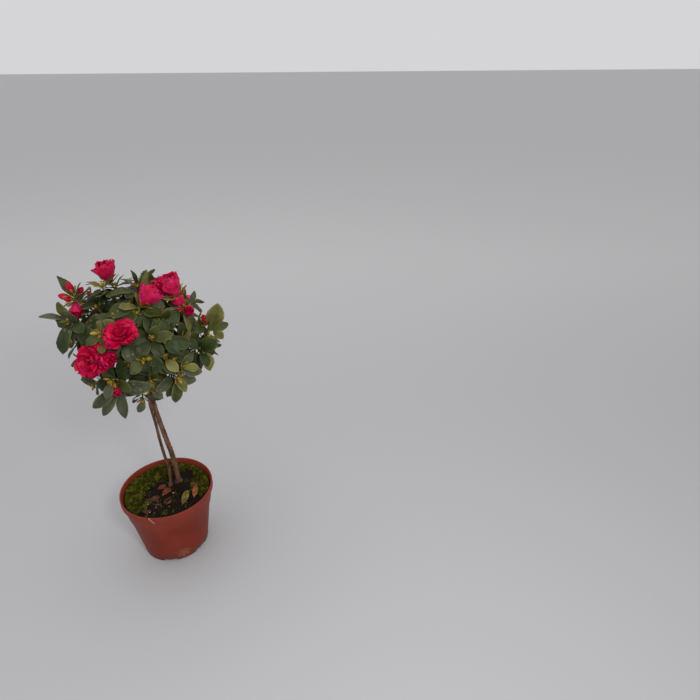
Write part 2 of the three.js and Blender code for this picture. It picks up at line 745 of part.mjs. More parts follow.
function stemOfMass(row, curve, owner) {
  const start = curve.getPoint(1);
  const way = curve.getTangent(1);
  const root = start.clone().addScaledVector(way, CLEAR);
  const tip = rosetteTip(row);
  const outwards = pointing(row.at[0], row.at[1]);
  const bow = root.clone().addScaledVector(way, root.distanceTo(tip) * 0.45);
  const main = new THREE.QuadraticBezierCurve3(root, bow, tip);
  const solid = limb(main, twigTaper, 5, 3);
  placedTips.push(tip);
  take(owner, limb(main, (t) => twigTaper(t) + CLEAR, 5, 3));
  noteLimb(owner, main, TWIG_RADIUS);
  const axis = row.axis ? pointing(...row.axis) : shootAxis(outwards);
  return { row, owner, main, outwards, solids: [solid], shoots: [{ curve: main, tip, axis }] };
}

function addSideShoot(mass, index) {
  const from = mass.main.getPoint(0.2 + 0.35 * index);
  const roll = dice(mass.owner * 10 + index, 3);
  let best = null;
  for (let i = 0; i < SIDE_TRIES; i++) {
    const way = leaning(mass.outwards, roll() * 360, mix(0.6, 1.7, roll()));
    const tip = from.clone().addScaledVector(way, mix(22, 36, roll()));
    const free = Math.min(...placedTips.map((p) => p.distanceTo(tip)));
    if (!withinCrown(tip, 0.76) || (best && free < best.free)) continue;
    const axis = shootAxis(tip.clone().sub(CROWN_CENTRE).normalize());
    const bow = tip.clone().addScaledVector(axis, -from.distanceTo(tip) * 0.5);
    const curve = new THREE.QuadraticBezierCurve3(from, bow, tip);
    if (twigFits(mass.owner, curve, TWIG_RADIUS)) best = { tip, axis, curve, free };
  }
  if (!best) return;
  placedTips.push(best.tip);
  noteLimb(mass.owner, best.curve, TWIG_RADIUS);
  const grown = limb(best.curve, () => TWIG_RADIUS + CLEAR, 4, 3);
  best.kept = isFree(mass.owner, grown, true);
  if (best.kept) take(mass.owner, grown);
  if (best.kept) mass.solids.push(limb(best.curve, () => TWIG_RADIUS, 4, 3));
  mass.shoots.push(best);
}

const TILT = { none: [100, 34], shut: [100, 50], bud: [100, 52], half_open: [102, 66], open: [106, 88] };
const LEAD_LEAVES = { none: 8, shut: 7, bud: 7, half_open: 6, open: 6 };
const SIDE_LEAVES = 5;
const flowerKind = (row) => row.flowers?.[0][0] ?? "none";

place("pot", makePot(), terracotta);
place("soil", makeSoil(), soilBrown);
place("main_stem", aroundMain(0), bark);
take(STEMS, aroundMain(CLEAR));

const second = secondCurve();
const secondRadius = flared(SECOND_RADIUS, 0.72);
const aroundSecond = (extra) => cutAtSoil(limb(second, (t) => secondRadius(t) + extra, 7, 20));
place("second_stem", aroundSecond(0).subtract(aroundMain(CLEAR)), bark);
take(STEMS, aroundSecond(CLEAR));
noteLimb(STEMS, mainCurve, STEM_RADIUS, 12);
noteLimb(STEMS, second, SECOND_RADIUS, 12);

// The stems of the two masses that end the stems come first. A bough is cut clear of everything
// that grew before it.
const masses = [stemOfMass(SECOND, second, 1), stemOfMass(LEADER, mainCurve, 2)];
const boughCurves = BOUGHS.map(boughCurve);
BOUGHS.forEach((row, i) => {
  const bough = limb(boughCurves[i], boughTaper, 5, 3);
  place("bough_" + row.name, taken.reduce((left, t) => left.subtract(t.solid), bough), bark);
  take(STEMS, limb(boughCurves[i], (t) => boughTaper(t) + CLEAR, 5, 3));
  noteLimb(STEMS, boughCurves[i], BOUGH_RADIUS);
});

BOUGHS.forEach((row, i) => masses.push(stemOfMass(row, boughCurves[i], i + 3)));
for (const { row, owner, shoots, solids } of masses) {
  const made = flowersOf(shoots[0], row.flowers ?? []);
  made.forEach((solid) => take(owner, solid));
  solids.push(...made);
}
for (const { row, owner, shoots, solids } of masses)
  solids.push(...aimedLeaves(owner, shoots[0], row.leaves ?? []));
for (let i = 0; i < SIDE_SHOOTS; i++) for (const mass of masses) addSideShoot(mass, i);
for (const { row, owner, shoots, solids } of masses) {
  const kind = flowerKind(row);
  const count = LEAD_LEAVES[kind] - (row.leaves?.length ?? 0) + 1;
  solids.push(...rosetteLeaves(owner, owner * 10, shoots[0], count, 1, TILT[kind]));
}
for (const { owner, shoots, solids } of masses)
  shoots.slice(1).forEach((shoot, i) => {
    const made = rosetteLeaves(owner, owner * 10 + i + 1, shoot, SIDE_LEAVES, 0.86, TILT.none);
    if (shoot.kept) solids.push(...made);
  });
for (const { row, solids } of masses) place("foliage_" + row.name, joined(solids), foliage);

export default group;
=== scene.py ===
# %% [markdown]
# # A potted azalea, grown as a little tree
#
# Two thin stems rise from a round plastic pot and carry a loose round crown of leaf rosettes with
# double red flowers. This script dresses the plain solid model of it with fine meshes and
# procedural materials. Every size is in millimetres until a mesh is made, and the origin is the
# middle of the pot's underside, with the front towards -Y.

# %% Load the model
import math
from itertools import combinations, product

import bpy
import numpy as np
from mathutils import Matrix, Vector


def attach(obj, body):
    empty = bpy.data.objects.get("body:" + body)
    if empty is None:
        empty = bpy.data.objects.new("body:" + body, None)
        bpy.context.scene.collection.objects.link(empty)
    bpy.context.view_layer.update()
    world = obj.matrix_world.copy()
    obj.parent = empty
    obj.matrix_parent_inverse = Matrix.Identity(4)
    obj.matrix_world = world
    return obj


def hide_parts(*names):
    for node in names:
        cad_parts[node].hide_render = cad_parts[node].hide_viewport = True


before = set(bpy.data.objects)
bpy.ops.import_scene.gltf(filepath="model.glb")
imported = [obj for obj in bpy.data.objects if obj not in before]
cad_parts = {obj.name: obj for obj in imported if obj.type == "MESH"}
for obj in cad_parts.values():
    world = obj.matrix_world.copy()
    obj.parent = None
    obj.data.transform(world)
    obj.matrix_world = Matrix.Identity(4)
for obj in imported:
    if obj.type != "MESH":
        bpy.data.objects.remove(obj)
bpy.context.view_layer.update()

# %% [markdown]
# ## The camera
#
# The photograph looks down on the plant from the front and a little from the right. A camera's
# matrix can be written out directly: its columns are the directions of its right, its up and its
# back, then its place. That is surer here than angles, because the view is also rolled by a
# fraction of a degree. The Standard view transform shows a colour as it was mixed, and so keeps
# the crimson of the petals, which a film-like one would wash out.

# %% Make the camera
PITCH = math.radians(28.2235)
ROLL = math.radians(0.449)
FOCAL_PIXELS = 557.65
PICTURE_PIXELS = 700
SENSOR_WIDTH = 36
CAMERA_PLACE = (0.2479, -0.5747, 0.6084)
look = Vector((0, math.cos(PITCH), -math.sin(PITCH)))
level = Vector((1, 0, 0))
down = look.cross(level).normalized()
right = level * math.cos(ROLL) + down * math.sin(ROLL)
up = level * math.sin(ROLL) - down * math.cos(ROLL)

camera = bpy.data.objects.new("camera", bpy.data.cameras.new("camera"))
camera.data.sensor_width = SENSOR_WIDTH
camera.data.lens = FOCAL_PIXELS / PICTURE_PIXELS * SENSOR_WIDTH
facing = Matrix((right, up, -look)).transposed().to_4x4()
camera.matrix_world = Matrix.Translation(CAMERA_PLACE) @ facing
bpy.context.scene.collection.objects.link(camera)
bpy.context.scene.camera = camera
bpy.context.scene.view_settings.view_transform = "Standard"
print("Lens in mm:", round(camera.data.lens, 2))

# %% [markdown]
# ## Vectors and surfaces
#
# Everything below is worked out with numpy, whole arrays at a time. A surface is a grid of
# points, one row after another, and its faces join neighbours on the grid. Points and faces are
# gathered in a heap until they become one mesh, because one mesh of many leaves is far lighter
# than many objects.

# %% Vectors
UP = np.array([0.0, 0.0, 1.0])


def unit(v):
    """A vector, or an array of them, divided by its length."""
    return v / np.maximum(np.linalg.norm(v, axis=-1, keepdims=True), 1e-12)


def mix(a, b, share):
    """a where share is 0, b where it is 1, and evenly between."""
    return a + (b - a) * share


def smooth(x, low, high):
    """0 below low, 1 above high, and 3t^2 - 2t^3 between them."""
    t = np.clip((x - low) / (high - low), 0, 1)
    return t * t * (3 - 2 * t)


def pointing(azimuth, elevation):
    """The unit vector with this azimuth and elevation in degrees."""
    a = np.radians(azimuth)
    e = np.radians(elevation)
    return np.stack([np.cos(a) * np.cos(e), np.sin(a) * np.cos(e), np.sin(e) + 0 * a], -1)


def square_to(axis):
    """Two unit vectors square to an axis and to each other."""
    upright = abs(axis[2]) >= 0.9
    first = unit(np.cross(np.array([1.0, 0, 0]) if upright else UP, axis))
    return first, np.cross(axis, first)


def lumps(points, size, seed):
    """Smooth random numbers from -1 to 1: seeded values on a lattice, blended between corners."""
    table = np.random.default_rng(seed).random(4096)
    scaled = np.asarray(points, float) / size
    cell = np.floor(scaled).astype(np.int64)
    part = scaled - cell
    part = part * part * (3 - 2 * part)
    total = np.zeros(scaled.shape[:-1])
    for corner in product((0, 1), repeat=3):
        at = cell + np.array(corner)
        key = (at[..., 0] * 73856093) ^ (at[..., 1] * 19349663) ^ (at[..., 2] * 83492791)
        total += table[key & 4095] * np.prod(np.where(corner, part, 1 - part), axis=-1)
    return total * 2 - 1


# %% Grids and the heap
MM = 0.001


def grid_faces(rows, columns, closed=False):
    """Quads between neighbours on a grid. A closed grid joins its last column to its first."""
    r, c = np.mgrid[0 : rows - 1, 0 : columns - (not closed)]
    after = (c + 1) % columns
    corners = [r * columns + c, r * columns + after, (r + 1) * columns + after, (r + 1) * columns + c]
    return np.stack(corners, -1).reshape(-1, 4)


def capped(rows, columns):
    """The faces of a closed grid, with a fan of triangles on one more point at each end."""
    foot = rows * columns
    c = np.arange(columns)
    after = (c + 1) % columns
    low = np.stack([after, c, np.full(columns, foot)], -1)
    top = (rows - 1) * columns
    high = np.stack([top + c, top + after, np.full(columns, foot + 1)], -1)
    return grid_faces(rows, columns, closed=True), np.concatenate([low, high])


def repeated(faces, points):
    """The faces of one shape for each of many like it, one after another in an array of points."""
    step = np.arange(len(points))[:, None, None] * points.shape[1]
    return (faces[None] + step).reshape(-1, faces.shape[1])


class Heap:
    """Gathers surfaces in millimetres, each with the number of its finish, for one mesh."""

    def __init__(self):
        self.points, self.corners, self.sizes, self.finishes, self.maps = [], [], [], [], []
        self.count = 0

    def add(self, points, *faces, finish=0, uv=None):
        """Adds points and the faces between them, in one array of quads or triangles or in two."""
        points = points.reshape(-1, 3)
        uv = np.zeros((len(points), 2)) if uv is None else uv.reshape(-1, 2)
        for some in faces:
            self.corners.append((some + self.count).ravel())
            self.sizes.append(np.full(len(some), some.shape[1]))
            self.maps.append(uv[some.ravel()])
        self.finishes.append(np.broadcast_to(finish, sum(len(some) for some in faces)))
        self.points.append(points)
        self.count += len(points)

    def tube(self, points, radii, sides=8, relief=0.0, grain=4.0, seed=1):
        """Rings square to a path, each with its radius, and a point at each end. Relief pushes
        the skin in and out by lumps that are drawn out along the path."""
        along = unit(np.gradient(points, axis=0))
        side = np.zeros_like(points)
        side[0] = square_to(along[0])[0]
        for i in range(1, len(points)):
            side[i] = unit(side[i - 1] - along[i] * (side[i - 1] @ along[i]))
        across = np.cross(along, side)
        turn = np.arange(sides) * 2 * math.pi / sides
        spoke = side[:, None] * np.cos(turn)[:, None] + across[:, None] * np.sin(turn)[:, None]
        radii = np.broadcast_to(radii, len(points))[:, None, None]
        skin = points[:, None] + spoke * radii
        if relief:
            squeezed = skin * np.array([1, 1, 0.3])
            rough = lumps(squeezed, grain / 3, seed) + 0.6 * lumps(squeezed, grain / 9, seed + 1)
            skin = skin + spoke * (relief * rough)[..., None]
        length = np.concatenate([[0], np.cumsum(np.linalg.norm(np.diff(points, axis=0), axis=1))])
        uv = np.stack(np.broadcast_arrays(turn / (2 * math.pi), length[:, None] / 100), -1)
        foot = points[0] - along[0] * radii[0, 0] * 0.4
        tip = points[-1] + along[-1] * radii[-1, 0] * 0.7
        everything = np.concatenate([skin.reshape(-1, 3), [foot, tip]])
        uv = np.concatenate([uv.reshape(-1, 2), uv[[0, -1], 0]])
        self.add(everything, *capped(len(points), sides), uv=uv)

    def piece(self, name, materials, slot=None, replaces=()):
        """Makes the mesh in metres, hangs the materials on it, and lets it ride with the plant."""
        mesh = bpy.data.meshes.new(name)
        points = np.concatenate(self.points) * MM
        corners = np.concatenate(self.corners)
        sizes = np.concatenate(self.sizes)
        mesh.vertices.add(len(points))
        mesh.vertices.foreach_set("co", points.ravel())
        mesh.loops.add(len(corners))
        mesh.loops.foreach_set("vertex_index", corners.astype(np.int32))
        mesh.polygons.add(len(sizes))
        mesh.polygons.foreach_set("loop_start", np.r_[0, np.cumsum(sizes)[:-1]].astype(np.int32))
        mesh.polygons.foreach_set("material_index", np.concatenate(self.finishes).astype(np.int32))
        mesh.update(calc_edges=True)
        uv_map = mesh.uv_layers.new(name="surface")
        uv_map.data.foreach_set("uv", np.concatenate(self.maps).ravel())
        mesh.shade_smooth()
        mesh.validate()
        for material in materials:
            mesh.materials.append(material)
        thing = bpy.data.objects.new(name, mesh)
        bpy.context.scene.collection.objects.link(thing)
        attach(thing, "root")
        if replaces:
            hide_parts(*replaces)
        print(name, "triangles:", (sizes - 2).sum())
        return thing


# %% [markdown]
# ## Materials as sums
#
# A material in Blender is a net of nodes. Written out one by one, the nodes hide the thought, so
# a small class stands for one output of a node and lets it be added and multiplied like a number:
# each sign adds its Math node. Another class holds a material and makes every other kind of node
# through one method.


# %% The classes for shader maths
class Wire:
    """A node's output in a material. A sum of wires and numbers adds Math nodes."""

    def __init__(self, finish, socket):
        self.finish = finish
        self.socket = socket

    def reckon(self, operation, one, two):
        return self.finish.node("Math", {"operation": operation}, {0: one, 1: two})

    def __add__(self, other):
        return self.reckon("ADD", self, other)

    def __radd__(self, other):
        return self.reckon("ADD", other, self)

    def __sub__(self, other):
        return self.reckon("SUBTRACT", self, other)

    def __rsub__(self, other):
        return self.reckon("SUBTRACT", other, self)

    def __mul__(self, other):
        return self.reckon("MULTIPLY", self, other)

    def __rmul__(self, other):
        return self.reckon("MULTIPLY", other, self)

    def size(self):
        """The wire's value without its sign."""
        return self.reckon("ABSOLUTE", self, None)

    def above(self, low, high):
        """0 where the wire is below low, 1 where it is above high."""
        sockets = {"Value": self, "From Min": low, "From Max": high}
        return self.finish.node("MapRange", {"interpolation_type": "SMOOTHSTEP"}, sockets)


class Finish:
    """One material round a Principled shader, with short ways to its usual nodes."""

    def __init__(self, name, roughness=0.6, **constants):
        self.material = bpy.data.materials.new(name)
        self.material.use_nodes = True
        self.tree = self.material.node_tree
        self.shader = self.tree.nodes["Principled BSDF"]
        self.shader.inputs["Roughness"].default_value = roughness
        for socket, value in constants.items():
            self.shader.inputs[socket.replace("_", " ")].default_value = value

    def node(self, kind, settings, sockets, output=0):
        """Adds a node of a kind, makes its settings, then fills or links its sockets."""
        node = self.tree.nodes.new("ShaderNode" + kind)
        for name, value in settings.items():
            setattr(node, name, value)
        for name, value in sockets.items():
            if isinstance(value, Wire):
                self.tree.links.new(value.socket, node.inputs[name])
            elif value is not None:
                node.inputs[name].default_value = value
        return Wire(self, node.outputs[output])

    def place(self):
        """The place on the object in metres."""
        return self.node("TexCoord", {}, {}, output="Object")

    def along(self, axis):
        """One coordinate of the place."""
        return self.node("SeparateXYZ", {}, {"Vector": self.place()}, output=axis)

    def noise(self, scale, detail=3, stretch=(1, 1, 1)):
        """Noise over the place in metres, from 0 to 1, with its axes stretched."""
        place = self.node("Mapping", {}, {"Vector": self.place(), "Scale": stretch})
        return self.node("TexNoise", {}, {"Vector": place, "Scale": scale, "Detail": detail})

    def mixed(self, share, one, two):
        """One colour where share is 0, the other where it is 1."""
        return self.node("Mix", {"data_type": "RGBA"}, {0: share, 6: one, 7: two}, output=2)

    def colour(self, value):
        self.feed("Base Color", value)

    def feed(self, socket, value):
        if isinstance(value, Wire):
            self.tree.links.new(value.socket, self.shader.inputs[socket])
        else:
            self.shader.inputs[socket].default_value = value

    def bumps(self, height, distance, strength=1.0):
        """Lets a height tilt the light on the surface, as relief of a depth in metres would."""
        sockets = {"Height": height, "Distance": distance, "Strength": strength}
        self.feed("Normal", self.node("Bump", {}, sockets))


def rgb(red, green, blue):
    """A colour given as a screen shows it, from 0 to 255, as the linear colour of a shader."""
    share = np.array([red, green, blue]) / 255
    linear = np.where(share <= 0.04045, share / 12.92, ((share + 0.055) / 1.055) ** 2.4)
    return (*[float(x) for x in linear], 1.0)


def toned(colour, factor, lift=0.0):
    """A shader colour made darker or paler by a factor."""
    return (*[min(1, c * factor + lift) for c in colour[:3]], 1)


# %% [markdown]
# ## The floor and the light
#
# In the photograph the light is even, and each leaf throws a faint shadow to its left. A soft
# lamp a hand's breadth to the right of the camera and a pale sky do the same. The floor is a
# plain pale surface that isn't part of the plant, and it reaches far enough to fill the picture.
# The lamps light it only near the pot, so its colour grows paler with the distance and the
# picture stays as even as the photograph.

# %% Make the floor and the lamps
floor_finish = Finish("floor_pale", roughness=0.8, Specular_IOR_Level=0.2)
far = floor_finish.along("Y").above(0.1, 1.3)
floor_finish.colour(floor_finish.mixed(far, rgb(179, 179, 180), rgb(199, 199, 199)))
floor_mesh = bpy.data.meshes.new("floor")
floor_corners = [(-12, -6, 0), (12, -6, 0), (12, 20, 0), (-12, 20, 0)]
floor_mesh.from_pydata(floor_corners, [], [(0, 1, 2, 3)])
floor_mesh.materials.append(floor_finish.material)
floor = bpy.data.objects.new("floor", floor_mesh)
bpy.context.scene.collection.objects.link(floor)

# Each lamp's name, place, target, size in metres and power in watts
LAMPS = [
    ("key", (0.42, -0.62, 0.74), (0.0, 0.0, 0.2), 0.14, 3.2),
    ("overhead", (-0.3, 0.3, 2.0), (0.0, 0.0, 0.1), 1.6, 9.0),
]
for name, place, target, size, power in LAMPS:
    data = bpy.data.lights.new(name, "AREA")
    data.size = size
    data.energy = power
    lamp = bpy.data.objects.new(name, data)
    lamp.location = place
    lamp.rotation_euler = (Vector(target) - Vector(place)).to_track_quat("-Z", "Y").to_euler()
    bpy.context.scene.collection.objects.link(lamp)

world = bpy.data.worlds.new("studio")
world.use_nodes = True
sky = world.node_tree.nodes["Background"].inputs
sky["Color"].default_value = (0.9, 0.9, 0.92, 1)
sky["Strength"].default_value = 0.74
bpy.context.scene.world = world
print("Lamps:", len(LAMPS))

# %% [markdown]
# ## The pot
#
# It is a moulded plastic flower pot: a thin tapering wall, a step below the collar, a thick lip,
# and feet between slots round the underside that let water out. A moulded pot is round, so its
# surface is a profile turned about the axis. The slots are cut by lifting the rings of the
# underside where a slot passes, with grid lines set on the slots' edges.

# %% Shape the pot
RIM_RADIUS = 60
POT_HEIGHT = 95
BASE_RADIUS = 43
WALL = 1.5
FLOOR = 5.2
LIP_HEIGHT = 9
COLLAR_HEIGHT = 30
STEP = 1.4
FEET = 6
SLOT_WIDTH = 19
SLOT_HEIGHT = 3.6
SLOT_INNER = 33
FIRST_SLOT = -86
DRAIN_RADIUS = 3.5
lip_foot = POT_HEIGHT - LIP_HEIGHT
step_level = POT_HEIGHT - COLLAR_HEIGHT
body_top = RIM_RADIUS - 7
collar_foot = body_top + STEP
collar_top = RIM_RADIUS - 2.4

INSIDE = [
    (BASE_RADIUS - WALL, FLOOR),
    (body_top - WALL, step_level - WALL),
    (collar_foot - WALL, step_level + WALL),
    (collar_top - WALL, lip_foot),
    (RIM_RADIUS - WALL - 0.6, POT_HEIGHT - 1),
]


def rounded(profile, radius, steps=4):
    """The profile with each inner corner replaced by a quadratic arc that starts and ends at most
    a radius from the corner."""
    profile = np.asarray(profile, float)
    bent = [profile[:1]]
    for before, corner, after in zip(profile, profile[1:], profile[2:]):
        back = before - corner
        on = after - corner
        back = back * min(0.45, radius / max(np.linalg.norm(back), 1e-6))
        on = on * min(0.45, radius / max(np.linalg.norm(on), 1e-6))
        t = np.linspace(0, 1, steps)[:, None]
        bent.append(corner + back * (1 - t) ** 2 + on * t**2)
    return np.concatenate([*bent, profile[-1:]])


outside = [
    (0.3, 0),
    (SLOT_INNER - 0.2, 0),
    (SLOT_INNER + 0.2, 0.01),
    (BASE_RADIUS - 1.2, 0.02),
    (BASE_RADIUS, 1.2),
    (BASE_RADIUS + 0.16, SLOT_HEIGHT + 0.3),
    (body_top, step_level - 0.8),
    (collar_foot, step_level),
    (collar_top, lip_foot - 1),
    (RIM_RADIUS - 0.05, lip_foot + 0.6),
    (RIM_RADIUS - 0.05, POT_HEIGHT - 0.5),
    (RIM_RADIUS - 0.8, POT_HEIGHT - 0.02),
    (RIM_RADIUS - WALL, POT_HEIGHT - 0.02),
]
profile = rounded([*outside, *INSIDE[::-1], (0.3, FLOOR)], 0.7)
half_slot = math.degrees(math.asin(SLOT_WIDTH / 2 / BASE_RADIUS))
slots = FIRST_SLOT + np.arange(FEET) * 360 / FEET
slot_edges = [slot + side * half_slot + e for slot in slots for side in (-1, 1) for e in (-0.4, 0.4)]
around = np.unique(np.round(np.mod(np.r_[np.arange(0, 360, 2.5), slot_edges], 360), 3))
from_slot = np.abs(np.mod(around[:, None] - slots + 180, 360) - 180).min(1)
radius, height = profile[:, :1], profile[:, 1:]
lifted = (from_slot[None] < half_slot) & (radius > SLOT_INNER) & (height < SLOT_HEIGHT)
z = np.where(lifted, SLOT_HEIGHT + 0.01 * (radius - SLOT_INNER) / 10, height)
a = np.radians(around)[None]
pot_points = np.stack(np.broadcast_arrays(radius * np.cos(a), radius * np.sin(a), z), -1)
print("Pot grid:", pot_points.shape)

# %% [markdown]
# Moulded plastic of this sort is never quite clean: the colour is an even brick brown, a little
# paler in clouds and towards the rim, soil dust clings to the foot, and there are two pale
# marks at the front: a fine scratch over the lip and a rubbed spot near the foot. The gloss is
# soft, so roughness varies a little with the clouds. Each mark is a mask worked out from the
# place on the pot.

# %% Finish the pot
pot_finish = Finish("pot_plastic", roughness=0.5, Specular_IOR_Level=0.18)
x_here, y_here, z_here = (pot_finish.along(axis) for axis in "XYZ")
clouds = pot_finish.noise(26, 5)
streaks = pot_finish.noise(60, 3, stretch=(1, 1, 0.12))
grit = pot_finish.noise(420, 4)
base = pot_finish.mixed(clouds.above(0.35, 0.7), rgb(115, 36, 20), rgb(128, 44, 27))
base = pot_finish.mixed(streaks.above(0.55, 0.8) * 0.3, base, rgb(134, 58, 42))
# The colour grows paler from below the step up to the rim.
base = pot_finish.mixed(z_here.above(0.055, 0.09) * 0.35, base, rgb(140, 64, 50))
dust = (1 - z_here.above(0.0, 0.022)) * (clouds + grit * 0.6).above(0.55, 0.95)
base = pot_finish.mixed(dust * 0.6, base, rgb(84, 66, 54))
from_x = x_here + 0.0022
from_z = z_here - 0.0908
across = from_x * 0.79 + from_z * 0.62 + (clouds - 0.5) * 0.004
along = from_x * 0.62 - from_z * 0.79
thin = 1 - across.size().above(0.0003, 0.0009)
short = 1 - along.size().above(0.005, 0.007)
outer_skin = 1 - (y_here + z_here.above(0.0855, 0.0865) * 0.0024).above(-0.057, -0.0566)
scratch = thin * short * outer_skin * grit.above(0.3, 0.5)
base = pot_finish.mixed(scratch * 0.8, base, rgb(196, 160, 144))
from_spot = {"Vector": pot_finish.place(), "Location": (-0.022, 0.039, -0.012)}
from_spot = pot_finish.node("Mapping", {}, from_spot)
from_spot = pot_finish.node("VectorMath", {"operation": "LENGTH"}, {0: from_spot}, output="Value")
worn = (1 - from_spot.above(0.003, 0.012)) * grit.above(0.36, 0.66)
base = pot_finish.mixed(worn * 0.5, base, rgb(180, 132, 96))
pot_finish.colour(base)
pot_finish.feed("Roughness", 0.42 + clouds * 0.2)
pot_finish.bumps(grit * 0.4 + clouds, 0.0004, 0.5)

pot_heap = Heap()
middles = [[0, 0, 0], [0, 0, FLOOR]]
pot_heap.add(np.concatenate([pot_points.reshape(-1, 3), middles]), *capped(*pot_points.shape[:2]))
pot = pot_heap.piece("pot_shell", [pot_finish.material], "pot", ["pot"])
pot.data.set_sharp_from_angle(angle=math.radians(32))

# %% [markdown]
# The drain holes go through the floor of the pot inside the slots. Holes are what a Boolean
# modifier is for: six posts are joined in one cutter, taken away from the pot, and the result is
# kept as the pot's mesh.

# %% Drill the drain holes
cutter_heap = Heap()
for slot in slots:
    middle = pointing(slot, 0.0) * (SLOT_INNER + DRAIN_RADIUS)
    cutter_heap.tube(middle + UP * np.linspace(-3, FLOOR + 3, 3)[:, None], DRAIN_RADIUS, sides=20)
cutter = cutter_heap.piece("drill", [])
holes = pot.modifiers.new("holes", "BOOLEAN")
holes.operation = "DIFFERENCE"
holes.solver = "EXACT"
holes.object = cutter
bpy.context.view_layer.update()
drilled = bpy.data.meshes.new_from_object(pot.evaluated_get(bpy.context.evaluated_depsgraph_get()))
pot.modifiers.remove(holes)
pot.data = drilled
drilled.name = "pot_shell"
bpy.data.objects.remove(cutter)
print("Drilled pot faces:", len(drilled.polygons))

# %% [markdown]
# ## The rule of the crown
#
# A shrub's leaves stand in rosettes at the ends of its shoots, and each shoot grows on from a
# bough. Rather than scatter leaves in a ball, the crown grows by a rule from the stems: bough,
# twig, side shoots, then leaves in a spiral. A leaf that would touch another, a twig or a flower
# is raised and turned a few times, and then left out. This is the same rule as the solids', so
# each leaf here lies where its solid is.

# %% The sizes of the plant
SOIL_LEVEL = 84
MOSS_HEIGHT = 7
CLEAR = 0.3
FOOT = np.array([10, 20, SOIL_LEVEL + CLEAR])
FORK_HEIGHT = 296
STEM_RADIUS = 3
SECOND_RADIUS = 1.9
FLARE = 1.9
FLARE_LENGTH = 0.05
GAP_BETWEEN_STEMS = 3.4
SECOND_LEAVES_AT = 0.86
CROWN_CENTRE = np.array([3.0, 0, 318])
CROWN_REACH = np.array([104.0, 98, 93])
BOUGH_RADIUS = 1.8
TWIG_RADIUS = 0.95
BOUGH_SHARE = 0.5
FIRST_BOUGH = 0.8
LAST_BOUGH = 0.985
LEAF_LENGTH = 33
LEAF_WIDTH = 17.5
LEAF_BEND = 0.7
LEAF_CUP = 0.1
BUD_LENGTH = 13

# %% [markdown]
# One row stands for each bough, from the lowest on the stem to the highest. `at` is the azimuth,
# the elevation and the distance of its leading rosette from the middle of the crown; `axis` the
# way the rosette faces where it does not just face outwards. `flowers` holds kind, azimuth,
# elevation, size and length of stalk, and `leaves` the azimuth, elevation and size of single
# leaves that show at the front, some with a slenderness and a turn about the midrib.

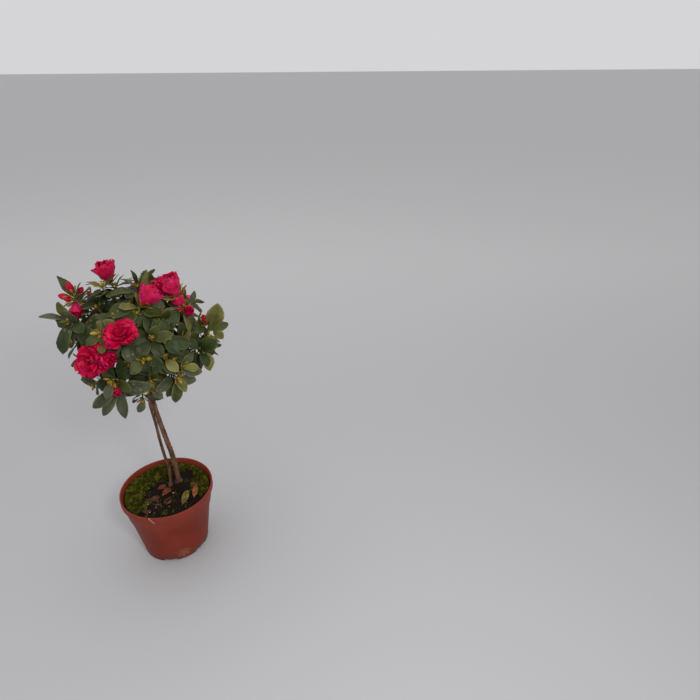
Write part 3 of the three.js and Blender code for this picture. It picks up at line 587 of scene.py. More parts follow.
# %% The boughs
BOUGHS = [
    {
        "name": "low_right",
        "at": [322, -24, 72],
        "leaves": [[260, -70, 0.9], [330, -65, 0.65], [225, -60, 0.8]],
    },
    {"name": "back_left_low", "at": [165, -10, 72]},
    {"name": "back_right_low", "at": [52, -12, 70], "flowers": [["bud", 60, 45, 0.8, 3]]},
    {
        "name": "front_left_low",
        "at": [252, 6, 68],
        "flowers": [["open", 256, 14, 1, 3], ["half_open", 335, 14, 0.9, 6]],
        "leaves": [[215, -30, 0.8]],
    },
    {
        "name": "right_low",
        "at": [354, -8, 76],
        "axis": [320, 20],
        "leaves": [[330, -65, 0.85], [345, 25, 0.7]],
    },
    {"name": "back_low", "at": [112, -8, 70]},
    {
        "name": "front_right_low",
        "at": [310, 3, 74],
        "flowers": [["shut", 320, 60, 0.75, 0]],
        "leaves": [[350, 35, 0.9], [240, -35, 0.6], [215, -25, 0.75], [330, -40, 0.75], [200, 40, 0.7]],
    },
    {
        "name": "left_low",
        "at": [207, 30, 74],
        "axis": [255, 40],
        "leaves": [
            [197, 34, 0.95, 0.6, 70],
            [240, -52, 1.15],
            [215, -68, 0.95, 0.7],
            [318, -32, 1.05],
            [190, 40, 0.7, 0.8, -40],
        ],
    },
    {
        "name": "right",
        "at": [13, 0, 84],
        "axis": [310, 50],
        "flowers": [["bud", 204, 68, 1.2, 8]],
        "leaves": [[8, 75, 1.15], [30, 30, 0.7, 0.6, 60], [250, -50, 0.85]],
    },
    {"name": "back", "at": [98, 20, 72], "flowers": [["open", 98, 35, 1, 4]]},
    {"name": "front_left", "at": [279, 26, 68], "flowers": [["open", 280, 62, 1, 3]]},
    {"name": "back_right", "at": [64, 6, 76], "flowers": [["half_open", 84, -8, 1.1, 4]]},
    {
        "name": "left_top",
        "at": [184, 41, 77],
        "flowers": [
            ["bud", 195, 80, 1.1, 7],
            ["bud", 182, 16, 1.05, 5],
            ["bud", 236, 20, 0.85, 3],
            ["bud", 18, 52, 0.9, 5],
            ["half_open", 288, -38, 0.85, 4],
        ],
        "leaves": [[202, 50, 1, 0.85], [225, -5, 0.75], [330, 40, 0.95]],
    },
    {
        "name": "front_right",
        "at": [304, 21, 72],
        "flowers": [["shut", 310, 62, 0.75, 0]],
        "leaves": [[350, 25, 0.85], [350, 62, 0.6], [213, -8, 0.62], [320, -45, 0.7]],
    },
    {
        "name": "back_left",
        "at": [146, 24, 76],
        "flowers": [["bud", 146, 35, 0.9, 4], ["bud", 100, 25, 0.9, 4]],
    },
    {
        "name": "right_top",
        "at": [0, 31, 72],
        "flowers": [
            ["half_open", 205, 66, 1.45, 16],
            ["half_open", 201, 57, 0.8, 3.6],
            ["half_open", 300, 5, 0.6, 2],
            ["bud", 222, 10, 0.6, 4],
        ],
        "leaves": [
            [40, 35, 0.7, 0.7, 50],
            [25, 18, 0.95, 0.6, 60],
            [302, -52, 0.8],
            [235, -18, 0.95],
            [10, -30, 0.7],
        ],
    },
    {
        "name": "top_left",
        "at": [151, 68, 65.5],
        "flowers": [["half_open", 190, 80, 1.2, 4]],
        "leaves": [[200, 10, 0.85, 0.7], [40, 60, 0.65, 0.7]],
    },
    {"name": "back_top", "at": [88, 47, 70], "flowers": [["bud", 84, 12, 1, 4], ["bud", 40, 0, 0.8, 4]]},
    {
        "name": "front_top",
        "at": [303, 54, 64],
        "flowers": [["half_open", 28, 42, 1.25, 3]],
        "leaves": [[212, 0, 0.95], [240, -35, 0.6], [300, -60, 0.6]],
    },
]
LEADER = {
    "name": "crown_top",
    "at": [345, 78, 64],
    "leaves": [[100, 75, 0.7, 0.6, 50], [225, 5, 1.05], [40, 40, 0.85, 0.6, 60], [10, 10, 0.65, 0.7]],
}
SECOND = {
    "name": "low_left",
    "at": [266, -22, 69],
    "flowers": [["bud", 250, 35, 0.7, 3], ["half_open", 275, -20, 0.5, 2]],
    "leaves": [[0, 0, 1.1], [203, -36, 1.2, 0.6], [206, -58, 1.35, 0.5], [255, -79, 1.35, 0.55]],
}
print("Boughs:", len(BOUGHS))


# %% [markdown]
# The rule throws dice, but always the same ones: each rosette has its own seeded source of
# numbers, a simple product and remainder that gives the same row in any language. Curves are
# plain functions from a share of their length to a point.


# %% Dice and curves
def dice(*keys):
    """A repeatable source of numbers from 0 to 1: state times a factor plus a term, remainder 2^32."""
    modulus = 2**32
    state = 12345
    for key in keys:
        state = (state * 69069 + key * 1013 + 1) % modulus

    def throw():
        nonlocal state
        state = (state * 1664525 + 1013904223) % modulus
        return state / modulus

    for _ in range(4):
        throw()
    return throw


def chain(points):
    """A Catmull-Rom curve: between two points it is the cubic whose slope at each is half the
    step between that point's neighbours."""
    p = np.asarray(points, float)
    p = np.concatenate([[2 * p[0] - p[1]], p, [2 * p[-1] - p[-2]]])
    spans = len(p) - 3

    def curve(t):
        scaled = np.asarray(t, float) * spans
        i = np.clip(np.floor(scaled).astype(int), 0, spans - 1)
        w = (scaled - i)[..., None]
        a, b, c, d = p[i], p[i + 1], p[i + 2], p[i + 3]
        slope_b = (c - a) / 2
        slope_c = (d - b) / 2
        third = 2 * b - 2 * c + slope_b + slope_c
        second = 3 * c - 3 * b - 2 * slope_b - slope_c
        return third * w**3 + second * w**2 + slope_b * w + b

    return curve


def arc(start, bow, end):
    """A quadratic Bezier curve with one control point."""

    def curve(t):
        w = np.asarray(t, float)[..., None]
        return start * (1 - w) ** 2 + bow * 2 * w * (1 - w) + end * w**2

    return curve


def heading(curve):
    """The way in which a curve leaves its end."""
    return unit(curve(1.0) - curve(0.9999))


def flared(radius, taper):
    """A stem's radius: an even taper, times a flare that dies out over the first stretch."""

    def at(t):
        return radius * mix(1.12, taper, t) * (1 + (FLARE - 1) * np.maximum(0, 1 - t / FLARE_LENGTH) ** 2)

    return at


main_curve = chain([
    FOOT - UP * 2,
    (10.5, 14.5, 132),
    (7.5, 8, 178),
    (5, 2, 226),
    (8, -1, 264),
    (9, -2, FORK_HEIGHT),
])
main_radius = flared(STEM_RADIUS, 0.78)
second_radius = flared(SECOND_RADIUS, 0.72)


def rosette_tip(row):
    azimuth, elevation, reach = row["at"]
    return CROWN_CENTRE + pointing(azimuth, elevation) * reach


def make_second_curve():
    """Beside the main stem, parted from it by a sine near the foot, and half a turn round it."""
    t = np.arange(0, SECOND_LEAVES_AT, 0.12)
    parted = np.sin(math.pi * np.minimum(1, t / 0.45)) * GAP_BETWEEN_STEMS
    away = main_radius(t) * 0.99 + SECOND_RADIUS + 1.1 + parted + np.where(t == 0, 1.6, 0)
    turn = np.radians(mix(196, 262, t / SECOND_LEAVES_AT))
    beside = np.stack([np.cos(turn), np.sin(turn), 0 * turn], -1) * away[:, None]
    points = main_curve(t) + beside
    last = mix(points[-1], rosette_tip(SECOND), BOUGH_SHARE) + UP * 7
    return chain([*points, last])


second_curve = make_second_curve()


def bough_curve(row, index):
    """A bough leaves the main stem, bows upwards and ends where its mass of leaves begins."""
    start = main_curve(mix(FIRST_BOUGH, LAST_BOUGH, index / (len(BOUGHS) - 1)))
    end = mix(start, rosette_tip(row), BOUGH_SHARE) + UP * 4
    out = pointing(row["at"][0], min(max(row["at"][1], 8), 45))
    return arc(start, start + out * np.linalg.norm(end - start) * 0.5, end)


bough_curves = [bough_curve(row, i) for i, row in enumerate(BOUGHS)]
print("Stem foot:", main_curve(0.0), "tip:", main_curve(1.0))

# %% [markdown]
# The test of a new leaf is plain geometry. Each leaf has fifteen test points on its face. They
# must stay inside the crown, outside the room of each flower, and clear of limbs and of the
# other leaves' points, and no edge of one leaf may cut the face of another.

# %% What is already there
LEAF_GAP = 1.9
NEAR = 46
LEAF_TO_LIMB = 0.9
LIMB_TO_LIMB = 0.8
ROOT_DEPTH = 0.45
ROSETTE_STRETCH = 11
GOLDEN_ANGLE = 137.5
STEMS = -1

limbs = []
balls = []
leaves = []
shapes = []
rows3 = np.arange(12).reshape(4, 3)[:, :2].ravel()
FACES_OF_LEAF = np.stack([rows3, rows3 + 1, rows3 + 3, rows3 + 1, rows3 + 4, rows3 + 3], -1).reshape(-1, 3)
EDGES_OF_LEAF = np.array([[i, i + 3] for i in range(12)] + [[i, i + 1] for i in rows3])


def note_limb(owner, curve, radius, count=4):
    ends = curve(np.arange(count + 1) / count)
    for start, end in zip(ends, ends[1:]):
        limbs.append((owner, start, end, radius))


def to_segments(points, start, end):
    """How far each point is from each segment."""
    way = end - start
    off = points[:, None] - start
    t = np.clip((off * way).sum(-1) / (way * way).sum(-1), 0, 1)
    return np.linalg.norm(off - t[..., None] * way, axis=-1)


def cuts(edges, triangles):
    """Whether each edge crosses each triangle, by the test of Moller and Trumbore."""
    a = triangles[..., None, :, 0, :]
    one = triangles[..., None, :, 1, :] - a
    two = triangles[..., None, :, 2, :] - a
    start = edges[..., :, None, 0, :]
    way = edges[..., :, None, 1, :] - start
    p = np.cross(way, two)
    det = (one * p).sum(-1)
    det = np.where(np.abs(det) < 1e-9, np.nan, det)
    s = start - a
    q = np.cross(s, one)
    u = (s * p).sum(-1) / det
    v = (way * q).sum(-1) / det
    t = (two * q).sum(-1) / det
    return (u >= 0) & (u <= 1) & (v >= 0) & (u + v <= 1) & (t >= 0) & (t <= 1)


# %% [markdown]
# A leaf's midrib is an arc that leaves the root along its way and bends back from its upper
# side. Half its width follows a sine that is widest past the middle. The rule needs only
# fifteen points of that face; the leaves that are seen come later from the same arc.


# %% Leaves for the rule
TEST_ROWS = np.array([0.16, 0.37, 0.58, 0.79, 1.0, 0.55])
CROWN_SLACK = 1.02
AIMED_SLACK = 1.14


def midrib(root, way, upper, length, bend, u):
    """The arc root + way L sin(bu)/b - upper L (1 - cos bu)/b, and the normal along it."""
    turn = bend * u
    normal = upper * np.cos(turn) + way * np.sin(turn)
    return root + way * length * np.sin(turn) / bend - upper * length * (1 - np.cos(turn)) / bend, normal


def test_shape(root, way, upper, length, width, bend):
    """Fifteen points of a leaf's face and its middle: a point lies at the midrib + side v half(u),
    raised by the cup times v squared."""
    u = TEST_ROWS[:, None, None]
    v = np.array([-1.0, 0, 1])[None, :, None]
    side = np.cross(way, upper)
    t = np.maximum(0, (u - 0.1) / 0.9)
    half = 0.5 * width * np.maximum(np.maximum(0, np.sin(math.pi * t**1.3)) ** 0.8, 0.07 * (1 - t))
    middle, normal = midrib(root, way, upper, length, bend, u)
    points = middle + side * v * half + normal * LEAF_CUP * v * v * half * 2
    return points[:5].reshape(15, 3), points[5, 1]


def leaf_fits(points, middle, rosette, reach):
    """The tests in order: inside the crown, outside the flowers, clear of limbs and leaves."""
    if (np.linalg.norm((points - CROWN_CENTRE) / CROWN_REACH, axis=1) > reach).any():
        return False
    for centre, room in balls:
        if (np.linalg.norm(points - centre, axis=1) < room).any():
            return False
    starts, ends, radii = limb_arrays
    near = to_segments(middle[None], starts, ends)[0] <= NEAR / 2 + radii
    if (to_segments(points[3:], starts[near], ends[near]) < radii[near] + LEAF_TO_LIMB).any():
        return False
    faces = points[FACES_OF_LEAF]
    if cuts(np.stack([starts[near], ends[near]], 1), faces[4:]).any():
        return False
    if not shapes:
        return True
    span = np.linalg.norm(points - middle, axis=1).max()
    away = np.array([np.linalg.norm(s[1] - middle) for s in shapes])
    close = [s for s, d in zip(shapes, away) if d <= NEAR and d < span + s[3] + LEAF_GAP]
    if not close:
        return True
    others = np.stack([s[0] for s in close])
    kin = np.array([s[2] == rosette for s in close])
    apart = np.linalg.norm(points[None, :, None] - others[:, None], axis=-1)
    apart[kin, :6] = 99
    apart[kin, :, :6] = 99
    if (apart < LEAF_GAP).any():
        return False
    mine = np.broadcast_to(points[EDGES_OF_LEAF], (len(close), 20, 2, 3))
    if cuts(mine, others[:, FACES_OF_LEAF]).any():
        return False
    return not cuts(others[:, EDGES_OF_LEAF], np.broadcast_to(faces, (len(close), 16, 3, 3))).any()


def try_leaf(owner, rosette, root, way, upper, scale, bend, kind, share=0.5, slender=1.0):
    """Adds the leaf if it fits. What is kept is all that its fine mesh needs."""
    length = LEAF_LENGTH * scale
    width = LEAF_WIDTH * scale * slender
    points, middle = test_shape(root, way, upper, length, width, bend)
    if not leaf_fits(points, middle, rosette, AIMED_SLACK if kind == "aimed" else CROWN_SLACK):
        return False
    shapes.append((points, middle, rosette, np.linalg.norm(points - middle, axis=1).max()))
    leaves.append((owner, rosette, root, way, upper, length, width, bend, kind, share))
    return True


def leaf_frame(axis, spoke, opened):
    """The midrib's way and the upper side of a leaf opened by an angle from its shoot."""
    way = axis * np.cos(opened)[..., None] + spoke * np.sin(opened)[..., None]
    return way, axis * np.sin(opened)[..., None] - spoke * np.cos(opened)[..., None]


def behind_tip(shoot, length):
    curve = shoot["curve"]
    whole = np.linalg.norm(curve(0.0) - curve(1.0))
    return curve(max(0, 1 - length / whole))


# %% Leaves that are aimed, and leaves in a spiral
AIMED_TRIES = 5
SPIRAL_TRIES = 8
RAISED_BY = 6
TURNED_BY = 9


def aimed_leaves(owner, shoot, rows, first=0):
    """Single leaves, aimed from root to tip along a given way."""
    axis = shoot["axis"]
    for i, (azimuth, elevation, scale, *more) in enumerate(rows, first):
        slender, turned = (more + [1, 0][len(more):])[:2]
        chord = pointing(azimuth, elevation)
        spoke = unit(chord - axis * (chord @ axis))
        opened = math.acos(np.clip(chord @ axis, -1, 1)) - LEAF_BEND / 2
        root = behind_tip(shoot, 1 + i * ROSETTE_STRETCH / 6) + spoke * ROOT_DEPTH
        turned = math.radians(turned)
        for k in range(AIMED_TRIES):
            way, flat = leaf_frame(axis, spoke, np.array(opened - math.radians(k * RAISED_BY)))
            upper = flat * math.cos(turned) + np.cross(way, flat) * math.sin(turned)
            if try_leaf(owner, owner * 10, root, way, upper, scale, LEAF_BEND, "aimed", i, slender):
                break
        else:
            print("No room for leaf", i, "of mass", owner)


def rosette_leaves(owner, rosette, shoot, count, size, tilt, kind="spiral"):
    """Leaves leave a shoot's last stretch by golden angles, the lowest long and spread flat, the
    top ones short and upright."""
    axis = shoot["axis"]
    first, second = square_to(axis)
    start = dice(rosette, 1)() * 360
    for i in range(count):
        roll = dice(rosette, 2, i)
        share = i / (count - 1)
        along = behind_tip(shoot, (1 - share) * ROSETTE_STRETCH)
        around = start + i * GOLDEN_ANGLE + (roll() - 0.5) * 24
        opened = mix(*tilt, share) + (roll() - 0.5) * 16
        scale = size * mix(1, 0.66, share) * mix(0.88, 1.1, roll())
        for k in range(SPIRAL_TRIES):
            a = math.radians(around + (1 if k % 2 else -1) * k * TURNED_BY)
            angle = math.radians(opened - k * RAISED_BY)
            spoke = first * math.cos(a) + second * math.sin(a)
            way, upper = leaf_frame(axis, spoke, np.array(angle))
            bend = LEAF_BEND * mix(0.6, 1.3, share) * max(math.sin(angle), 0.3)
            if try_leaf(owner, rosette, along + spoke * ROOT_DEPTH, way, upper, scale, bend, kind, share):
                break


# %% [markdown]
# A side shoot looks for room. It throws sixteen directions, drops those that leave the crown or
# meet something, and keeps the one whose tip is freest of the tips already placed.

# %% Shoots
SIDE_SHOOTS = 2
SIDE_TRIES = 16
placed_tips = []


def shoot_axis(outwards):
    """A shoot grows outwards and turns up a little."""
    return unit(outwards + UP * 0.35)


def leaning(axis, around, by):
    first, second = square_to(axis)
    a = math.radians(around)
    return unit(axis + first * math.cos(a) * by + second * math.sin(a) * by)


def twig_fits(owner, curve, radius):
    """A twig keeps clear of flowers, of leaves and of every limb but its own mass's."""
    ends = curve(np.arange(5) / 4)
    starts, stops, radii = limb_arrays
    strange = limb_owners != owner
    for start, end in zip(ends, ends[1:]):
        middle = (start + end) / 2
        for centre, room in balls:
            if to_segments(centre[None], start, end)[0] < room:
                return False
        gaps = to_segments(np.stack([middle, end]), starts[strange], stops[strange])
        if (gaps < radius + radii[strange] + LIMB_TO_LIMB).any():
            return False
        for points, centre, _, _ in shapes:
            if np.linalg.norm(centre - middle) > NEAR:
                continue
            if (to_segments(points, start, end) <= radius + LEAF_TO_LIMB).any():
                return False
            if cuts(np.stack([start, end])[None], points[FACES_OF_LEAF]).any():
                return False
    return True


def refresh_limbs():
    global limb_arrays, limb_owners
    owners, starts, ends, radii = zip(*limbs)
    limb_owners = np.array(owners)
    limb_arrays = (np.array(starts), np.array(ends), np.array(radii, float))


def stem_of_mass(row, curve, owner):
    """The stem of a mass of leaves goes on from its bough's tip to the leading rosette."""
    way = heading(curve)
    root = curve(1.0) + way * CLEAR
    tip = rosette_tip(row)
    main = arc(root, root + way * np.linalg.norm(tip - root) * 0.45, tip)
    placed_tips.append(tip)
    note_limb(owner, main, TWIG_RADIUS)
    outwards = pointing(row["at"][0], row["at"][1])
    axis = pointing(*row["axis"]) if "axis" in row else shoot_axis(outwards)
    shoots = [{"curve": main, "tip": tip, "axis": axis}]
    return {"row": row, "owner": owner, "main": main, "outwards": outwards, "shoots": shoots}


def add_side_shoot(mass, start, key, reach, lengths):
    """Throws directions for a new shoot from a point of the mass and keeps the freest one."""
    roll = dice(mass["owner"] * 10 + key, 3)
    best = None
    for _ in range(SIDE_TRIES):
        way = leaning(mass["outwards"], roll() * 360, mix(0.6, 1.7, roll()))
        tip = start + way * mix(*lengths, roll())
        free = min(np.linalg.norm(p - tip) for p in placed_tips)
        outside = np.linalg.norm((tip - CROWN_CENTRE) / CROWN_REACH) > reach
        if outside or (best and free < best["free"]):
            continue
        axis = shoot_axis(unit(tip - CROWN_CENTRE))
        curve = arc(start, tip - axis * np.linalg.norm(tip - start) * 0.5, tip)
        if twig_fits(mass["owner"], curve, TWIG_RADIUS):
            best = {"tip": tip, "axis": axis, "curve": curve, "free": free}
    if best:
        placed_tips.append(best["tip"])
        note_limb(mass["owner"], best["curve"], TWIG_RADIUS)
        refresh_limbs()
        mass["shoots"].append(best)
    return best


# %% [markdown]
# Now the crown grows, in the same order as the solids: stems and boughs, the stems of the
# masses, the rooms of the flowers, the aimed leaves, the side shoots, and the spirals of leaves.

# %% Grow the crown
ROOMS = {"open": (16, 8), "half_open": (10.5, 10), "bud": (4.5, BUD_LENGTH / 2), "shut": (3.2, 4.5)}
TILT = {"none": (100, 34), "shut": (100, 50), "bud": (100, 52), "half_open": (102, 66), "open": (106, 88)}
LEAD_LEAVES = {"none": 8, "shut": 7, "bud": 7, "half_open": 6, "open": 6}
SIDE_LEAVES = 5

note_limb(STEMS, main_curve, STEM_RADIUS, 12)
note_limb(STEMS, second_curve, SECOND_RADIUS, 12)
masses = [stem_of_mass(SECOND, second_curve, 1), stem_of_mass(LEADER, main_curve, 2)]
for curve in bough_curves:
    note_limb(STEMS, curve, BOUGH_RADIUS)
for i, row in enumerate(BOUGHS):
    masses.append(stem_of_mass(row, bough_curves[i], i + 3))
refresh_limbs()

flowers = []
for mass in masses:
    for kind, azimuth, elevation, scale, stalk in mass["row"].get("flowers", []):
        axis = pointing(azimuth, elevation)
        base = mass["shoots"][0]["tip"] + axis * stalk
        room, reach = ROOMS[kind]
        balls.append((base + axis * reach * scale, room * scale))
        foot = behind_tip(mass["shoots"][0], 1)
        flowers.append({"kind": kind, "base": base, "axis": axis, "scale": scale, "foot": foot})

for mass in masses:
    aimed_leaves(mass["owner"], mass["shoots"][0], mass["row"].get("leaves", []))
for index in range(SIDE_SHOOTS):
    for mass in masses:
        add_side_shoot(mass, mass["main"](0.2 + 0.35 * index), index, 0.76, (22, 36))
for mass in masses:
    own = mass["row"]
    mass["kind"] = own["flowers"][0][0] if "flowers" in own else "none"
    count = LEAD_LEAVES[mass["kind"]] - len(own.get("leaves", [])) + 1
    rosette_leaves(mass["owner"], mass["owner"] * 10, mass["shoots"][0], count, 1, TILT[mass["kind"]])
for mass in masses:
    for i, shoot in enumerate(mass["shoots"][1:]):
        rosette_leaves(mass["owner"], mass["owner"] * 10 + i + 1, shoot, SIDE_LEAVES, 0.86, TILT["none"])
print("Leaves of the rule:", len(leaves), "flowers:", len(flowers))

# %% [markdown]
# The real crown goes on to finer twigs than the solids can hold. They grow by the same rule from
# the side shoots and carry smaller rosettes. Old leaves that stand singly along the inner twigs
# come last and fill the shade of the crown, where they find room. Sky shows between the leaves
# at the right and at the upper left, so the masses there get none.

# %% Finer twigs and single leaves
FINE_LEAVES = 4
AIRY = ("right", "right_low", "right_top", "front_right", "front_right_low", "left_top")
AIMED_LATER = {"top_left": [[234, -26, 1.1, 1, -45]], "right_low": [[330, 46, 0.95, 1, -60]]}
fine_from = len(leaves)
for mass in masses:
    own = mass["row"]
    later = AIMED_LATER.get(own["name"], [])
    aimed_leaves(mass["owner"], mass["shoots"][0], later, len(own.get("leaves", [])))
for mass in masses:
    for j, shoot in enumerate(list(mass["shoots"])[1:3]):
        add_side_shoot(mass, shoot["curve"](0.45), 4 + j, 0.74, (13, 24))
for mass in masses:
    for j, shoot in enumerate(mass["shoots"][3:]):
        rosette = mass["owner"] * 10 + 5 + j
        rosette_leaves(mass["owner"], rosette, shoot, FINE_LEAVES, 0.7, TILT["none"], kind="fine")


def single_leaves(owner, rosette, curve, shares, size, tries=6):
    """Leaves one by one along a twig, each turned by the golden angle from the one before."""
    for i, t in enumerate(shares):
        roll = dice(rosette, 7, i)
        axis = unit(curve(t + 0.01) - curve(t - 0.01))
        first, second = square_to(axis)
        turn = roll() * 360 + i * GOLDEN_ANGLE
        scale = size * mix(0.7, 1.1, roll())
        for k in range(tries):
            a = math.radians(turn + k * 360 / tries)
            spoke = first * math.cos(a) + second * math.sin(a)
            way, upper = leaf_frame(axis, spoke, np.array(math.radians(mix(55, 95, roll()))))
            if try_leaf(owner, rosette, curve(t) + spoke * 0.8, way, upper, scale, 0.5, "single"):
                break


for mass in masses:
    if mass["row"]["name"] in AIRY:
        continue
    for j, shoot in enumerate(mass["shoots"]):
        single_leaves(mass["owner"], mass["owner"] * 10 + j, shoot["curve"], (0.35, 0.6), 0.66)
for i, curve in enumerate(bough_curves):
    if BOUGHS[i]["name"] not in AIRY:
        single_leaves(STEMS, 900 + i, curve, (0.5, 0.85), 0.62)
print("Leaves that only show here:", len(leaves) - fine_from)

# %% [markdown]
# ## The leaves
#
# A leaf of this shrub is a spoon: narrow at its stalk, broadest past the middle, rounded at the
# end with a tiny point. It folds a little along the midrib, its edge rolls down, and no two lie
# alike. All leaves are made at once: the surface is a function of u along the midrib and v
# across it, and the arrays hold one more axis for the number of the leaf.

# %% Shape a leaf
LEAF_ROWS = np.array([0.0, 0.1, 0.24, 0.4, 0.57, 0.73, 0.86, 0.95, 1.0])
LEAF_COLUMNS = np.array([-1.0, -0.82, 0.0, 0.82, 1.0])


def spoon(u, blunt=0.76):
    """Half the width over the length of a leaf: a stalk, then a sine of a stretched share."""
    t = np.clip((u - 0.07) / 0.93, 0, 1)
    body = np.maximum(0, np.sin(math.pi * t**1.16)) ** blunt
    return np.maximum(body, 0.055 * (1 - 0.75 * t))


def leaf_surfaces(root, way, upper, length, width, bend, cast, rows=LEAF_ROWS, columns=LEAF_COLUMNS):
    """Points over u and v for many leaves. The midrib is the arc of the rule, swayed sideways and
    twisted by each leaf's own cast of random numbers. The height over the midrib adds a fold that
    grows with |v|, an edge that rolls down with its fourth power, and waves along the edge."""
    u = rows[None, :, None, None]
    v = columns[None, None, :, None]
    root, way, upper = (x[:, None, None, :] for x in (root, way, upper))
    length, width, bend = (x[:, None, None, None] for x in (length, width, bend))
    sway, twist, wave, phase, fold = (cast[:, i][:, None, None, None] for i in range(5))
    side = np.cross(way, upper)
    middle, normal = midrib(root, way, upper, length, bend, u)
    middle = middle + side * length * (sway - 0.5) * 0.16 * u**2
    half = 0.5 * width * spoon(u)
    angle = (twist - 0.5) * 0.7 * u
    across = side * np.cos(angle) + normal * np.sin(angle)
    above = normal * np.cos(angle) - side * np.sin(angle)
    out = np.abs(v)
    rise = half * (mix(0.14, 0.42, fold) * out - 0.2 * out**4)
    swell = np.sin(2 * math.pi * (1.6 * u + phase) + 1.4 * np.sign(v))
    waves = width * 0.05 * swell * out**1.5 * (0.4 + wave)
    return middle + across * v * half + above * (rise + waves)


def thick_sheets(top, thickness):
    """Closed thin shells from sheets of points. The lower skin is the upper one moved against
    its normal, and the two share their rim."""
    count, rows, columns = top.shape[:3]
    normal = unit(np.cross(np.gradient(top, axis=2), np.gradient(top, axis=1)))
    under = (top - normal * thickness)[:, 1:-1, 1:-1]
    points = np.concatenate([top.reshape(count, -1, 3), under.reshape(count, -1, 3)], 1)
    below = np.arange(rows * columns).reshape(rows, columns)
    below[1:-1, 1:-1] = np.arange(rows * columns, points.shape[1]).reshape(rows - 2, columns - 2)
    upper_faces = grid_faces(rows, columns)
    lower_faces = below.ravel()[upper_faces][:, ::-1]
    return points, repeated(np.concatenate([upper_faces, lower_faces]), points)


def add_sheets(heap, surface, thickness, finish, rows, columns):
    """Adds sheets of points as thin shells. A finish is one number or one for each face."""
    points, faces = thick_sheets(surface, thickness)
    heap.add(points, faces, finish=finish, uv=sheet_map(len(surface), rows, columns))


def crease(piece, rows, columns, midrib):
    """Marks edges of thick sheets as sharp, so that the light breaks there: the rim all round
    and, on leaves, the midrib of the upper skin."""
    across, along = len(columns), len(rows)
    per_sheet = across * along + (across - 2) * (along - 2)
    ends = np.zeros(len(piece.data.edges) * 2, np.int32)
    piece.data.edges.foreach_get("vertices", ends)
    ends = ends.reshape(-1, 2) % per_sheet
    row, column = ends // across, ends % across
    rim = (row == 0) | (row == along - 1) | (column == 0) | (column == across - 1)
    sharp = rim.all(1)
    if midrib:
        sharp |= (column == across // 2).all(1)
    upper = (ends < across * along).all(1)
    piece.data.edges.foreach_set("use_edge_sharp", sharp & upper)


def sheet_map(count, rows, columns):
    """The u and v of each point of thick sheets, upper skin first."""
    v, u = np.meshgrid((columns + 1) / 2, rows)
    one = np.stack([v, u], -1)
    flat = np.concatenate([one.reshape(-1, 2), one[1:-1, 1:-1].reshape(-1, 2)])
    return np.tile(flat, (count, 1))


# %% [markdown]
# Leaves differ by age and place: the outer ones are a dull dark green, young ones at the hearts
# of the rosettes a yellowish olive, and old hanging ones are greyed by their felt of hairs. Each
# kind is a piece of its own with plain colours. Within a leaf the felt shows as a paler rim and a
# pale underside, and those are faces with a finish of their own. The leaves that stand out at
# the front have their kind given by name.


# %% Finishes of the leaves
def leaf_finishes(name, face, back, rim):
    """Three finishes: a leaf's face with clouds and a fine grain, its felted back, its pale rim."""
    made = []
    for part, colour, rough in (("face", face, 0.5), ("back", back, 0.75), ("rim", rim, 0.6)):
        finish = Finish(f"{name}_{part}", roughness=rough, Specular_IOR_Level=0.22)
        clouds = finish.noise(60, 4)
        grain = finish.noise(900, 3)
        blend = finish.mixed(clouds.above(0.3, 0.7), toned(colour, 0.6), toned(colour, 1.4, 0.004))
        finish.colour(finish.mixed(grain.above(0.35, 0.75) * 0.4, blend, colour))
        finish.feed("Roughness", rough - 0.08 + clouds * 0.16)
        finish.bumps(grain + clouds, 0.0003, 0.5)
        made.append(finish.material)
    return made


LEAF_KINDS = {
    "dark": leaf_finishes("leaf_dark", rgb(42, 52, 18), rgb(86, 86, 54), rgb(60, 66, 30)),
    "green": leaf_finishes("leaf_green", rgb(56, 62, 20), rgb(94, 94, 56), rgb(78, 80, 38)),
    "olive": leaf_finishes("leaf_olive", rgb(94, 92, 42), rgb(116, 108, 64), rgb(116, 108, 62)),
    "grey": leaf_finishes("leaf_grey", rgb(66, 72, 50), rgb(104, 100, 74), rgb(92, 90, 62)),
}
AIMED_KINDS = {
    "low_left": ("grey", "grey", "grey", "grey"),
    "left_low": ("grey", "dark", "grey", "dark", "grey"),
    "left_top": ("dark", "olive", "green"),
    "right": ("olive", "dark", "dark"),
    "right_low": ("olive", "dark", "dark"),
    "right_top": ("grey", "olive", "olive", "green", "dark"),
    "top_left": ("green", "grey", "dark"),
    "crown_top": ("dark", "green", "olive", "dark"),
    "front_top": ("dark", "green", "dark"),
    "front_right": ("dark", "green", "dark", "dark"),
    "front_right_low": ("green", "dark", "dark", "dark", "dark"),
    "low_right": ("green", "olive", "dark"),
    "front_left_low": ("olive",),
}
names_of_owners = {mass["owner"]: mass["row"]["name"] for mass in masses}


def kind_of_leaf(owner, rosette, way, kind, share, index):
    """Deals out the kinds by spray: each shoot leans to one kind, hanging leaves are greyer and
    the top ones of a spiral more olive."""
    if kind == "aimed":
        return AIMED_KINDS[names_of_owners[owner]][share]
    chance = dice(rosette, 11)() * 0.6 + dice(rosette, 12, index)() * 0.4
    if way[2] < -0.45 and chance > 0.3:
        return "grey"
    if kind == "spiral" and share > 0.85:
        return "olive" if chance > 0.4 else "green"
    if chance < 0.45:
        return "dark"
    if chance < 0.68:
        return "green"
    if chance < 0.78:
        return "grey"
    return "olive" if kind != "single" else "dark"


# %% Make the leaves
LEAF_THICKNESS = 0.32
rng = np.random.default_rng(21)
first_corner = grid_faces(len(LEAF_ROWS), len(LEAF_COLUMNS))[:, 0]
rims = np.abs(first_corner % len(LEAF_COLUMNS) - 1.5) > 1
tips = first_corner // len(LEAF_COLUMNS) >= len(LEAF_ROWS) - 2
face_finish = np.where(rims | tips, 2, 0)
leaf_finish = np.concatenate([face_finish, np.ones(len(face_finish), int)])

